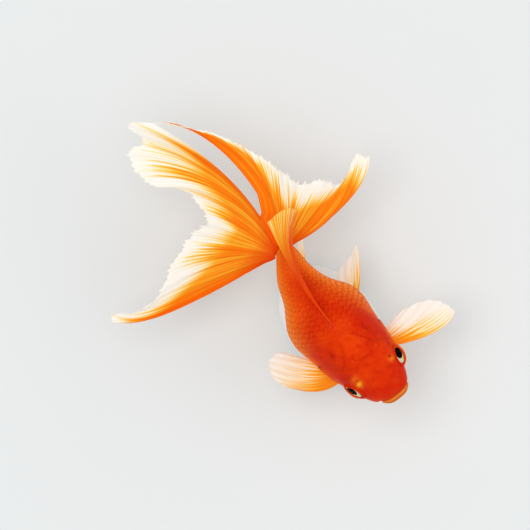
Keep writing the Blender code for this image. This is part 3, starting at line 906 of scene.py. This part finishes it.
def eye_frame(hand):
    """An eye's centre and its own axes: towards the snout, up, and out along its gaze."""
    gaze = unit(np.array(GAZE[hand]) * (1, hand, 1))
    ahead = hand * unit(np.cross((0, 0, 1), gaze))
    return np.array(EYES[hand]), np.stack([ahead, hand * np.cross(gaze, ahead), gaze])


def skin_rows(quick):
    """Fractional places along the lip rings and sections, closest together on the head."""
    coarse = 2 if quick else 1
    counts = [4] * len(LIPS) + [22] * 6 + [8] * (len(SECTIONS) - SNOUT - 6)
    places = [0.0]
    for index, count in enumerate(counts):
        count = max(2, count // coarse)
        places += [index + (n + 1) / count for n in range(count)]
    return np.array(places)


def skin_surface(rows, turns):
    """The bare skin before its features, as an array of rows and columns of points."""
    rings = [lip_points(lip, turns) for lip in LIPS]
    # The stalk ends in a blunt point inside the root of the tail.
    tip = SECTIONS[-1]._replace(along=92.6, half_width=0.05, top=0.4, bottom=0.1)
    rings += [section_points(section, turns) for section in (*SECTIONS[SNOUT:], tip)]
    return through(np.array(rings), rows)


def grid_normals(points):
    """Outward directions at an array of points that runs back and round."""
    back = np.gradient(points, axis=0)
    on = np.roll(points, -1, axis=1) - np.roll(points, 1, axis=1)
    return unit(np.cross(on, back))


def open_eye(points, hand, eyes, values):
    """Pulls the skin in behind an eye and lays a fleshy lid over the rim of its iris."""
    centre, axes = eye_frame(hand)
    away = points - centre
    reach = np.linalg.norm(away, axis=-1)
    ahead, up, out = np.moveaxis(away @ axes.T / np.maximum(reach, 1e-6)[..., None], -1, 0)
    near = 1 - step(reach, *SOCKET_RIM)
    # Where the line from the eye's centre crosses the plane of the lids.
    level = (eyes.iris_plane + LID_PLANE) / np.maximum(out, 0.12)
    middle_ahead, middle_up, half_length, half_height = LIDS[hand]
    half_height = half_height * (1 - LID_TAPER * np.clip(ahead * level / half_length, 0, 1))
    ring = np.hypot(
        (ahead * level - middle_ahead) / half_length, (up * level - middle_up) / half_height
    )
    gap = (ring - 1) * 3.7
    under_lid = eyes.iris_plane + 0.1
    lid = (eyes.lid_radius**-8 + (np.maximum(out, 0) / under_lid) ** 8) ** (-1 / 8)
    soft = 1.1
    blend = np.clip(0.5 + 0.5 * (reach - lid) / soft, 0, 1)
    covering = lid + (reach - lid) * blend + soft * blend * (1 - blend)
    crease, hidden = bell(gap - 2.0, 0.6), 1.2
    covering -= 0.22 * crease
    wanted = hidden + (covering - hidden) * step(gap, -0.12, 0.38)
    moved = reach + (wanted - reach) * near
    # Painted shade in the crease round the eye.
    values["seam"] = np.maximum(values["seam"], crease * 0.12 * near)
    return centre + away * (moved / np.maximum(reach, 1e-6))[..., None]


def skin_beside(flat, level, beside):
    """The level of the skin at places in a lid's plane, smoothed, and its nearest points."""
    apart = np.linalg.norm(beside[:, None] - flat[None], axis=2)
    nearest = np.argmin(apart, axis=1)
    highest = np.maximum(level[nearest], np.where(apart < 0.45, level, -9).max(axis=1))
    kernel = np.hanning(21)[1:-1]
    wide = len(kernel) // 2
    highest = np.concatenate([highest[-wide:], highest, highest[:wide]])
    return np.convolve(highest, kernel / kernel.sum(), "valid"), nearest


def build_lid(hand, eyes, points, values, material):
    """The fold of skin round an eye: a ring whose outer side dives into the skin beside it."""
    centre, axes = eye_frame(hand)
    away = (points - centre).reshape(-1, 3)
    reach = np.linalg.norm(away, axis=1)
    near = np.flatnonzero((reach > BESIDE_LID[0]) & (reach < BESIDE_LID[1]))
    away = away[near] @ axes.T
    turn = around(LID_COLUMNS)
    circle = np.stack([np.cos(turn), np.sin(turn)], -1)
    half = np.array(LIDS[hand][2:]) * np.ones((LID_COLUMNS, 1))
    half[:, 1] *= 1 - LID_TAPER * np.clip(np.cos(turn), 0, 1)
    edge, outward = LIDS[hand][:2] + half * circle, unit(circle / half)
    beside = edge + outward * (eyes.lid_width + 0.35)
    level, nearest = skin_beside(away[:, :2], away[:, 2], beside)
    # From the inner edge over the arch to the outer one, and back under it.
    share = np.append(np.linspace(0, 1, LID_ARCH + 1), np.linspace(1, 0, LID_FLOOR + 2)[1:-1])
    share, floor = share[:, None], (np.arange(len(share)) > LID_ARCH)[:, None]
    out = (1 - np.cos(math.pi * share)) / 2 * (eyes.lid_width + 0.45) - 0.1
    place = edge + outward * out[..., None]
    start, end = eyes.iris_plane - 0.15, level + 0.15
    rise = start + (end - start) * step(share, 0.1, 0.8) - 0.65 * step(share, 0.68, 1.0)
    thick = eyes.lid_height * (1.15 - 0.25 * np.sin(turn))
    arch = np.sin(math.pi * share) ** 0.7 * thick + 0.25 * step(share, 0.0, 0.2)
    rise = rise + np.where(floor, -0.45, arch)
    spots = centre + np.concatenate([place, rise[..., None]], -1) @ axes
    nearest = near[nearest]
    carried = {
        name: np.broadcast_to(value.ravel()[nearest], rise.shape) for name, value in values.items()
    }
    # Painted shade in the folds at the lid's inner and outer edges.
    folds = bell(share - 0.12, 0.16) * 0.55 + bell(share - 0.95, 0.14) * 0.3
    carried["seam"] = np.clip(carried["seam"] * 0.5 + folds, 0, 1)
    # Over the top the lid's edge is painted almost black as shade, darker round the right eye.
    brow = step(np.sin(turn), 0.0, 0.5) * bell(share - 0.2, 0.16)
    carried["inside"] = brow * (0.9 if hand < 0 else 0.35)
    name = f"lid_{SIDES[hand]}"
    piece(name, wrapped(name, spots, carried, ring=True), material, "flesh")


def gill_covers(along, height, turns):
    """How far the gill covers press the skin in, or raise it, and how dark their folds are painted
    as shade.
    """
    edge = along - gill_edge(height)
    cheek = step(np.abs(np.cos(turns)), 0.3, 0.7)
    cheek = cheek * step(height, 7.0, 2.0) * step(height, -21.5, -16.5)
    # A plate that ends in a free edge over a slit painted dark as shade, and the ridge before it,
    # shaded too.
    plate = np.where(edge < 0, np.exp(edge / 3.6), np.exp(-edge / 0.4)) * 0.30
    slit = bell(edge - 0.85, 0.6) * 0.5
    ridge = bell(edge + 6.6, 0.7) * step(height, 1.5, -2.5) * step(height, -17, -13)
    dark = np.maximum(bell(edge - 0.7, 0.55) * 0.9, ridge * 0.4)
    return cheek * (slit - plate + ridge * 0.28), cheek * dark


def nostrils(along, side, turns):
    """How far the nostrils press the skin in, how bright the painted highlight on their flaps is,
    and how dark the painted shade in their pits is.
    """
    above = step(np.sin(turns), 0.1, 0.4)
    sink, spot, dark = np.zeros((3, *along.shape))
    for nose_along, nose_side, bright in NOSTRILS:
        back, beside = along - nose_along, side - nose_side
        flap = bell(np.hypot(back, beside), 1.05) * above
        pit = bell(np.hypot(back - 1.5, beside - 0.2 * np.sign(nose_side)), 0.7) * above
        front = bell(np.hypot(back + 1.2, beside), 0.5) * above
        sink = sink - flap * 0.42 + pit * 0.7 + front * 0.35
        spot = np.maximum(spot, flap * bright)
        dark = np.maximum(dark, np.clip(pit * 1.2, 0, 1))
    return sink, spot, dark


def build_skin(context):
    body, eyes = in_mm(context.scene.goldfish_body), in_mm(context.scene.goldfish_eyes)
    columns = SKIN_COLUMNS
    rows, turns = np.meshgrid(skin_rows(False), around(columns), indexing="ij")
    points = skin_surface(rows[:, 0], turns[0])
    normal = grid_normals(points)
    along, side, height = np.moveaxis(points, -1, 0)
    values = markings(points, turns)
    behind_lips = step(rows, FOLD, len(LIPS) + 0.5)
    sink = body.skin_depth * behind_lips * (0.35 + 0.65 * step(along, 22, 36))
    pressed, dark = gill_covers(along, height, turns)
    # Painted shade in the gill slits and on the ridges before them.
    values["seam"] = np.maximum(values["seam"], dark)
    # Skull seams sink a little; the brow and the snout keep the smooth swell of the sections.
    sink = sink + pressed + values["seam"] * step(np.sin(turns), 0.25, 0.6) * 0.16
    pressed, values["spot"], dark = nostrils(along, side, turns)
    # The lips, their pale line of painted highlight, the mouth's inside painted dark as shade, and
    # painted shade in the fold behind the lips and in the nostril pits.
    upper = step(np.sin(turns), -0.1, 0.3)
    lips = step(rows, 3.2, 4.2) * step(rows, FOLD + 0.4, FOLD - 0.3)
    values["lip"] = lips * (0.5 + 0.5 * upper)
    patchy = 0.75 + 0.25 * np.sin(side * 2.1 + 1.0) * np.sin(side * 0.9)
    values["lip_line"] = bell(rows - FOLD + 1.15, 0.34) * upper * 0.75 * patchy
    values["inside"] = step(rows, 3.9, 2.6)
    fold = bell(rows - FOLD, 0.6) * 0.8
    values["seam"] = np.maximum(values["seam"], np.maximum(dark, fold))
    # A face is never quite smooth: low swells over the cheeks and brow.
    swell = 0.12 * np.sin(along * 0.9 + side * 0.5) * np.sin(height * 0.7 + along * 0.23)
    sink = sink + pressed + swell * step(along, 6, 10) * step(along, 34, 26)
    points = points - normal * sink[..., None]
    for hand in SIDES:
        points = open_eye(points, hand, eyes, values)
    material = hide_finish("hide", body, scaly=False)
    for hand in SIDES:
        build_lid(hand, eyes, points, values, material)
    piece("skin", wrapped("skin", points, values), material, "flesh", "head", "lower_jaw",
          "gill_cover_left", "gill_cover_right", "trunk", "tail_stalk")


def scale_template():
    """One scale with a round free edge: y runs from its root (0) to its tip (1), z through it."""
    bm = flat_grid(8, 3)
    for vert in bm.verts:
        root = Vector((vert.co.x * 0.86, 0.0))
        arc = Vector((vert.co.x, 1 - 0.55 * vert.co.x**2))
        vert.co.xy = root.lerp(arc, (vert.co.y + 1) / 2)
    for item in bmesh.ops.extrude_face_region(bm, geom=bm.faces[:])["geom"]:
        if isinstance(item, bmesh.types.BMVert):
            item.co.z = 1
    bmesh.ops.recalc_face_normals(bm, faces=bm.faces)
    return mesh_of(bm, "scale")


def scale_places(body):
    """(along, turn, half its width as a turn, size, rise from the skin) of every scale."""
    rng = random.Random(11)
    count = body.scale_rows
    # The rows are evenly spaced round the body at its deepest.
    turns = np.linspace(0, 2 * math.pi, 721)
    ring = body_points(np.full(len(turns), DEEPEST), turns)
    run = np.append(0, np.cumsum(np.linalg.norm(np.diff(ring, axis=0), axis=1)))
    edges = np.interp(np.arange(count + 1) / count * run[-1], run, turns)
    places = []
    for row in range(count):
        turn, half = (edges[row] + edges[row + 1]) / 2, (edges[row + 1] - edges[row]) / 2 * 1.55
        height = body_points(np.array(34.0), np.array(turn))[2]
        high = step(height, 2.0, 9.0)
        first = (gill_edge(height) + BEHIND_GILL) * (1 - high) + BEHIND_SKULL * high
        first = max(float(first), BREAST)
        along = first + (0.5 if row % 2 else 0.0) * body.scale_step
        while along < LAST_SCALE:
            size = 1.0 - 0.34 * min(max((along - 52) / 34, 0), 1)
            rise = min((along - first) / 6, 1)
            size *= 0.75 + 0.25 * rise
            places.append((along, turn + rng.uniform(-0.004, 0.004), half, size, rise))
            along += body.scale_step * size
    return places


def build_scales(context):
    body = in_mm(context.scene.goldfish_body)
    template = scale_template()
    across, out, top = spots_of(template).T
    places = scale_places(body)
    rng = random.Random(5)
    tone = np.array([[rng.random()] for _ in places])
    root, turn, half, size, rise = np.array(places).T[..., None]
    along = np.clip(root + (out - 0.45) * body.scale_step * 2.15 * size, 20, 91)
    turns = turn + half * across
    lift = body.scale_lift * out * size**0.5 - 0.22 * (1 - rise) - body.skin_depth - 0.12
    lift = lift + 0.02 * (1 - across**2) + top * body.scale_thickness
    points = body_points(along, turns)
    values = markings(points, turns) | {
        "tone": tone,
        "risen": rise,
        "edge": out + 0.55 * across**2,
        "streak": np.arctan2(across, out + 0.35) * 7,
    }
    points = points + body_normals(along, turns) * lift[..., None]

    bm = bmesh.new()
    for _ in places:
        bm.from_mesh(template)
    bpy.data.meshes.remove(template)
    mesh = mesh_of(bm, "scales")
    mesh.vertices.foreach_set("co", in_frame(points).ravel())
    for name, value in values.items():
        store(mesh, name, np.broadcast_to(value, along.shape).ravel())
    # Each scale's patch on the skin's unwrap: along the fish by turn round it.
    patch = 0.003
    u = root / BODY_LENGTH + (out - 0.5) * patch
    v = turn / (2 * math.pi) % 1 * 0.99 + across / 2 * patch
    unwrap(mesh, "OFBake", np.stack([u, v], -1).reshape(-1, 2))
    mesh.shade_smooth()
    mesh.set_sharp_from_angle(angle=SCALE_CREASE)
    mesh.update()
    piece("scales", mesh, hide_finish("scales", body, scaly=True), "flesh")


def build_eyeball(hand, eyes, material):
    """An eyeball, from the middle of the iris out to its rim and round the back of the ball."""
    centre, axes = eye_frame(hand)
    share, turn = np.arange(EYE_ROWS + 1)[:, None], around(EYE_COLUMNS)
    front, flat = share <= EYE_FRONT, np.minimum(share / EYE_FRONT, 1)
    rim, plane = eyes.iris_radius, eyes.iris_plane
    ball, start = math.hypot(rim, plane), math.atan2(rim, plane)
    back = np.clip((share - EYE_FRONT) / (EYE_ROWS - EYE_FRONT), 0, 1)
    swing = start + (math.pi - start) * back
    radius = np.where(front, rim * flat, ball * np.sin(swing))
    level = np.where(front, plane + eyes.iris_dome * (1 - flat**2), ball * np.cos(swing))
    ahead, up = hand * radius * np.cos(turn), radius * np.sin(turn)
    off_pupil = np.hypot(ahead + eyes.pupil_shift, up) / eyes.pupil_radius
    # The pupil bulges, inside a shallow groove and the iris's raised inner ring.
    bulge = eyes.pupil_dome * np.sqrt(np.clip(1 - off_pupil**2, 0, 1))
    bulge += 0.06 * bell(off_pupil - 1.14, 0.1) - 0.05 * bell(off_pupil - 1.02, 0.05)
    place = np.stack([ahead, up, level + np.where(front, bulge, 0)], -1)
    mesh = wrapped(f"eye_{SIDES[hand]}", centre + place @ axes, {
        "off_pupil": np.where(front, off_pupil, 3),
        "off_iris": np.broadcast_to(flat, ahead.shape),
        "upper": (up + ahead) / rim,
        "eye_place": place * (hand, 1, 1),
    })
    piece(f"eyeball_{SIDES[hand]}", mesh, material, "eyes", f"eye_{SIDES[hand]}")


def build_cornea(hand, eyes, material):
    """A clear dome over an iris, closed underneath."""
    centre, axes = eye_frame(hand)
    share, turn = np.arange(2 * CORNEA_ROWS + 1)[:, None], around(EYE_COLUMNS)
    outer = share <= CORNEA_ROWS
    flat = np.where(outer, share, 2 * CORNEA_ROWS - share) / CORNEA_ROWS
    radius = flat * (eyes.iris_radius + 0.05)
    dome = eyes.iris_plane + 0.06 + eyes.cornea_dome * (1 - flat**2)
    dome = dome - np.where(outer, 0, 0.1 * (1 - flat**8))
    place = np.broadcast_arrays(hand * radius * np.cos(turn), radius * np.sin(turn), dome)
    name = f"cornea_{SIDES[hand]}"
    piece(name, wrapped(name, centre + np.stack(place, -1) @ axes, {}), material, "eyes")


def build_eyes(context):
    eyes = in_mm(context.scene.goldfish_eyes)
    iris, clear = eye_finish("iris", eyes), cornea_finish("cornea")
    for hand in SIDES:
        build_eyeball(hand, eyes, iris)
        build_cornea(hand, eyes, clear)


def ray_at(fin, across):
    """The ray at each place across a fin, every value of it as a column."""
    return Ray(*through(fin.rays, across * (len(fin.rays) - 1)).T[..., None])


def fin_points(fin, across, out):
    """Points of a fin's middle surface, for arrays of places across and out along its rays."""
    ray = ray_at(fin, across)
    share = (np.arange(RAY_STEPS) + 0.5) / RAY_STEPS * out[:, None]
    heading = np.radians(ray.heading + ray.bend * share + ray.curl * share**CURL_POWER)
    climb = np.radians(ray.climb + ray.sag * share)
    run = ray.length * out[:, None] / RAY_STEPS
    first, last = np.array(fin.root_start), np.array(fin.root_end)
    start = first + across[:, None] * (last - first)
    moves = np.stack([
        np.cos(climb) * np.cos(heading), np.cos(climb) * np.sin(heading), np.sin(climb)
    ], -1)
    return start + np.sum(moves * run[..., None], axis=1)


def ray_height(across, out, count):
    """1 on a ray and 0 midway to the next; every ray forks beyond the middle of the fin."""
    single = 0.5 + 0.5 * np.cos(across * count * 2 * math.pi)
    double = 0.5 + 0.5 * np.cos(across * count * 4 * math.pi)
    forked = step(out, 0.42, 0.62)
    return (single * (1 - forked) + double * forked) ** 1.6


def fin_surface(dress, fins, across, out):
    """A fin's middle surface, and how far out along its ray each place lies."""
    fin = dress.fin
    # The margin: webs end short of their rays, and no two rays are quite as long.
    rng = np.random.default_rng(len(fin.name) * 7 + dress.rays)
    tips = rng.uniform(0, 1, dress.rays * 2 + 1)
    jitter = np.interp(across, np.linspace(0, 1, len(tips)), tips)
    notch = (1 - ray_height(across, np.ones_like(out), dress.rays)) * 0.55
    length = ray_at(fin, across).length[:, 0]
    inner = 0.3 + 0.7 * step(across, 0, 0.08) * step(across, 1, 0.94)
    reach = out * (1 - dress.ragged / length * (notch + jitter) * inner)
    points = fin_points(fin, across, reach)
    if fin is TAIL_LEFT:
        joined = np.interp(out, WEB_OUT, WEB_ACROSS) * (1 - step(across, 0, 0.12))
        partner = fin_points(TAIL_RIGHT, np.zeros_like(out), out)
        points = points + (partner + (0, 0, 0.6) - points) * joined[:, None]
    small, level = 0.004, np.maximum(out, 0.02)
    wide = fin_points(fin, np.clip(across + small, 0, 1), level)
    wide = wide - fin_points(fin, np.clip(across - small, 0, 1), level)
    far = fin_points(fin, across, out + small)
    far = far - fin_points(fin, across, np.maximum(out - small, 0))
    pleat = fins.pleat * np.sin(across * dress.rays * math.pi) * step(out, 0.1, 0.5)
    ripple = 0.35 * fins.pleat * np.sin(across * dress.rays * 0.37 * math.pi + out * 5)
    swing = pleat + ripple * step(out, 0.3, 0.8)
    return points + unit(np.cross(wide, far)) * swing[:, None], reach


def fin_markings(dress, across, out, reach):
    """What a fin carries for its finish: one value from 0 to 1 for each marking."""
    start = np.interp(across, np.linspace(0, 1, len(dress.fade)), dress.fade)
    fade = np.clip((reach - start) / dress.spread, 0, 1) * (0.35 + 0.65 * step(out, 0, 0.5))
    # The last of every ray is pale, later where the colour runs furthest out.
    late = 0.80 + 0.14 * np.clip((start - 0.75) / 0.25, 0, 1)
    tip_pale = 0.1 if dress.fin is DORSAL else 0.85
    edge = np.maximum(step(across, 0.22, 0), step(across, 0.78, 1))
    flush = 1.3 - out * 2.4 * across**2 if dress.fin is DORSAL else 1 - out / dress.red
    return {
        "ray": ray_height(across, out, dress.rays),
        "fade": np.maximum(fade, step(out, late, 1) * tip_pale) * dress.pale,
        "edge": edge * (1.0 if len(dress.nodes) > 1 else 0.4),
        "flush": np.clip(flush, 0, 1),
    }


def fin_thickness(fins, across, out, ray):
    """Thickness in mm: fleshy at the root, then rays with thin web between them."""
    thick = fins.web_thickness + (fins.ray_thickness - fins.web_thickness) * ray * (1 - 0.5 * out)
    base = (1 - step(out, 0.0, 0.09)) * (0.1 + 0.9 * step(across, 0.0, 0.12))
    return thick + (fins.root_thickness - fins.ray_thickness) * base


def thicken(obj, thick, most):
    """Gives an object's surface a thickness at each vertex, in mm, half of it on either side."""
    surface, name = obj.data, obj.data.name
    levels = np.rint(np.clip(thick / most, 0, 1) * THICKNESS_STEPS).astype(int)
    group = obj.vertex_groups.new(name="thickness")
    for level in np.unique(levels):
        chosen = np.flatnonzero(levels == level).tolist()
        group.add(chosen, level / THICKNESS_STEPS, "REPLACE")
    wall = obj.modifiers.new("Thickness", "SOLIDIFY")
    wall.thickness, wall.offset, wall.vertex_group = most * MM, 0, group.name
    wall.use_even_offset = False
    bpy.context.view_layer.update()
    solid = obj.evaluated_get(bpy.context.evaluated_depsgraph_get())
    walled = bpy.data.meshes.new_from_object(solid)
    obj.modifiers.clear()
    obj.vertex_groups.clear()
    obj.data = walled
    bpy.data.meshes.remove(surface)
    walled.name = name


def build_fins(context):
    fins = in_mm(context.scene.goldfish_fins)
    rows, per_ray = FIN_ROWS, FACES_PER_RAY
    for dress in FINS:
        name = dress.fin.name
        mesh = mesh_of(flat_grid(dress.rays * per_ray, rows), name)
        places = (spots_of(mesh)[:, :2] + 1) / 2
        across, out = places.T
        points, reach = fin_surface(dress, fins, across, out)
        mesh.vertices.foreach_set("co", in_frame(points).ravel())
        values = fin_markings(dress, across, out, reach)
        for key, value in values.items():
            store(mesh, key, value)
        unwrap(mesh, "fan", places)
        mesh.shade_smooth()
        obj = piece(name, mesh, fin_finish(dress, fins), "fins", *dress.nodes)
        thicken(obj, fin_thickness(fins, across, out, values["ray"]), fins.root_thickness)
        obj.data.set_sharp_from_angle(angle=FIN_CREASE)


def dress_stand(context):
    nodes, stand = frame["nodes"], in_mm(context.scene.goldfish_stand)
    enamel, steel = enamel_finish(stand), steel_finish(stand)
    for name, material in (("stand_base", enamel), ("stand_rod", steel), ("stand_collar", steel)):
        for slot in nodes[name].material_slots:
            slot.material = material


def build_stage(context):
    scene, stage = context.scene, in_mm(context.scene.goldfish_stage)
    bm = bmesh.new()
    bmesh.ops.create_circle(bm, cap_ends=True, segments=96, radius=stage.floor_size * MM)
    mesh = mesh_of(bm, "floor")
    mesh.materials.append(floor_finish(stage))
    floor = bpy.data.objects.new("floor", mesh)
    scene.collection.objects.link(floor)

    sky = bpy.data.worlds.new("sky")
    sky.use_nodes = True
    background = sky.node_tree.nodes["Background"].inputs
    background["Color"].default_value = (*stage.sky_colour, 1)
    background["Strength"].default_value = stage.sky
    scene.world = sky

    for name, (spot, width) in LIGHTS.items():
        light = bpy.data.lights.new(name, "AREA")
        light.shape, light.size, light.energy = "DISK", width, getattr(stage, name)
        lamp = bpy.data.objects.new(name, light)
        lamp.location = spot
        lamp.rotation_euler = (Vector(LIT_SPOT) - Vector(spot)).to_track_quat("-Z", "Y").to_euler()
        scene.collection.objects.link(lamp)

    camera = bpy.data.cameras.new("camera")
    camera.lens = camera.sensor_width * stage.camera_height / stage.view_width
    camera.clip_start, camera.clip_end = 0.01, 20
    eye = bpy.data.objects.new("camera", camera)
    height = (AXIS_HEIGHT + stage.camera_height) * MM
    turn = math.atan2(CAMERA_RIGHT[1], CAMERA_RIGHT[0])
    eye.matrix_world = Matrix.Translation((*CAMERA_OVER, height)) @ Matrix.Rotation(turn, 4, "Z")
    scene.collection.objects.link(eye)
    scene.camera = eye
    scene.view_settings.view_transform = "Standard"


# ---------------------------------------------------------------- operators

class GOLDFISH_OT_stage(Operator):
    """Lays the floor and sets the soft lights and the camera"""
    bl_idname = "goldfish.stage"
    bl_label = "Stage"

    def execute(self, context):
        build_stage(context)
        return {"FINISHED"}


class GOLDFISH_OT_skin(Operator):
    """Makes the one skin of the head, body and tail stalk"""
    bl_idname = "goldfish.skin"
    bl_label = "Skin"

    def execute(self, context):
        build_skin(context)
        return {"FINISHED"}


class GOLDFISH_OT_scales(Operator):
    """Lays the rows of overlapping scales over the skin"""
    bl_idname = "goldfish.scales"
    bl_label = "Scales"

    def execute(self, context):
        build_scales(context)
        return {"FINISHED"}


class GOLDFISH_OT_eyes(Operator):
    """Makes both eyeballs and their clear corneas"""
    bl_idname = "goldfish.eyes"
    bl_label = "Eyes"

    def execute(self, context):
        build_eyes(context)
        return {"FINISHED"}


class GOLDFISH_OT_fins(Operator):
    """Makes every fin as rays and web"""
    bl_idname = "goldfish.fins"
    bl_label = "Fins"

    def execute(self, context):
        build_fins(context)
        return {"FINISHED"}


class GOLDFISH_OT_stand(Operator):
    """Finishes the display stand"""
    bl_idname = "goldfish.stand"
    bl_label = "Stand"

    def execute(self, context):
        dress_stand(context)
        return {"FINISHED"}


OPERATORS = (
    GOLDFISH_OT_stage, GOLDFISH_OT_skin, GOLDFISH_OT_scales, GOLDFISH_OT_eyes,
    GOLDFISH_OT_fins, GOLDFISH_OT_stand,
)


class GOLDFISH_PT_panel(Panel):
    bl_label = "Goldfish"
    bl_idname = "GOLDFISH_PT_panel"
    bl_space_type = "VIEW_3D"
    bl_region_type = "UI"
    bl_category = "Goldfish"

    def draw(self, context):
        for operator in OPERATORS:
            self.layout.operator(operator.bl_idname)
        for name, group in GROUPS.items():
            box = self.layout.box()
            for key in group.__annotations__:
                box.prop(getattr(context.scene, name), key)


def register():
    for group in GROUPS.values():
        bpy.utils.register_class(group)
    for name, group in GROUPS.items():
        setattr(bpy.types.Scene, name, PointerProperty(type=group))
    for operator in OPERATORS:
        bpy.utils.register_class(operator)
    bpy.utils.register_class(GOLDFISH_PT_panel)


def unregister():
    bpy.utils.unregister_class(GOLDFISH_PT_panel)
    for operator in reversed(OPERATORS):
        bpy.utils.unregister_class(operator)
    for name in GROUPS:
        delattr(bpy.types.Scene, name)
    for group in reversed(GROUPS.values()):
        bpy.utils.unregister_class(group)


def corners(bounds):
    """A box as plain lists of numbers."""
    return [[float(value) for value in corner] for corner in bounds]


def main():
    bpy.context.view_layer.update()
    register()
    bpy.ops.goldfish.stage()
    bpy.ops.goldfish.skin()
    bpy.ops.goldfish.scales()
    bpy.ops.goldfish.eyes()
    bpy.ops.goldfish.fins()
    bpy.ops.goldfish.stand()


if __name__ == "__main__":
    main()
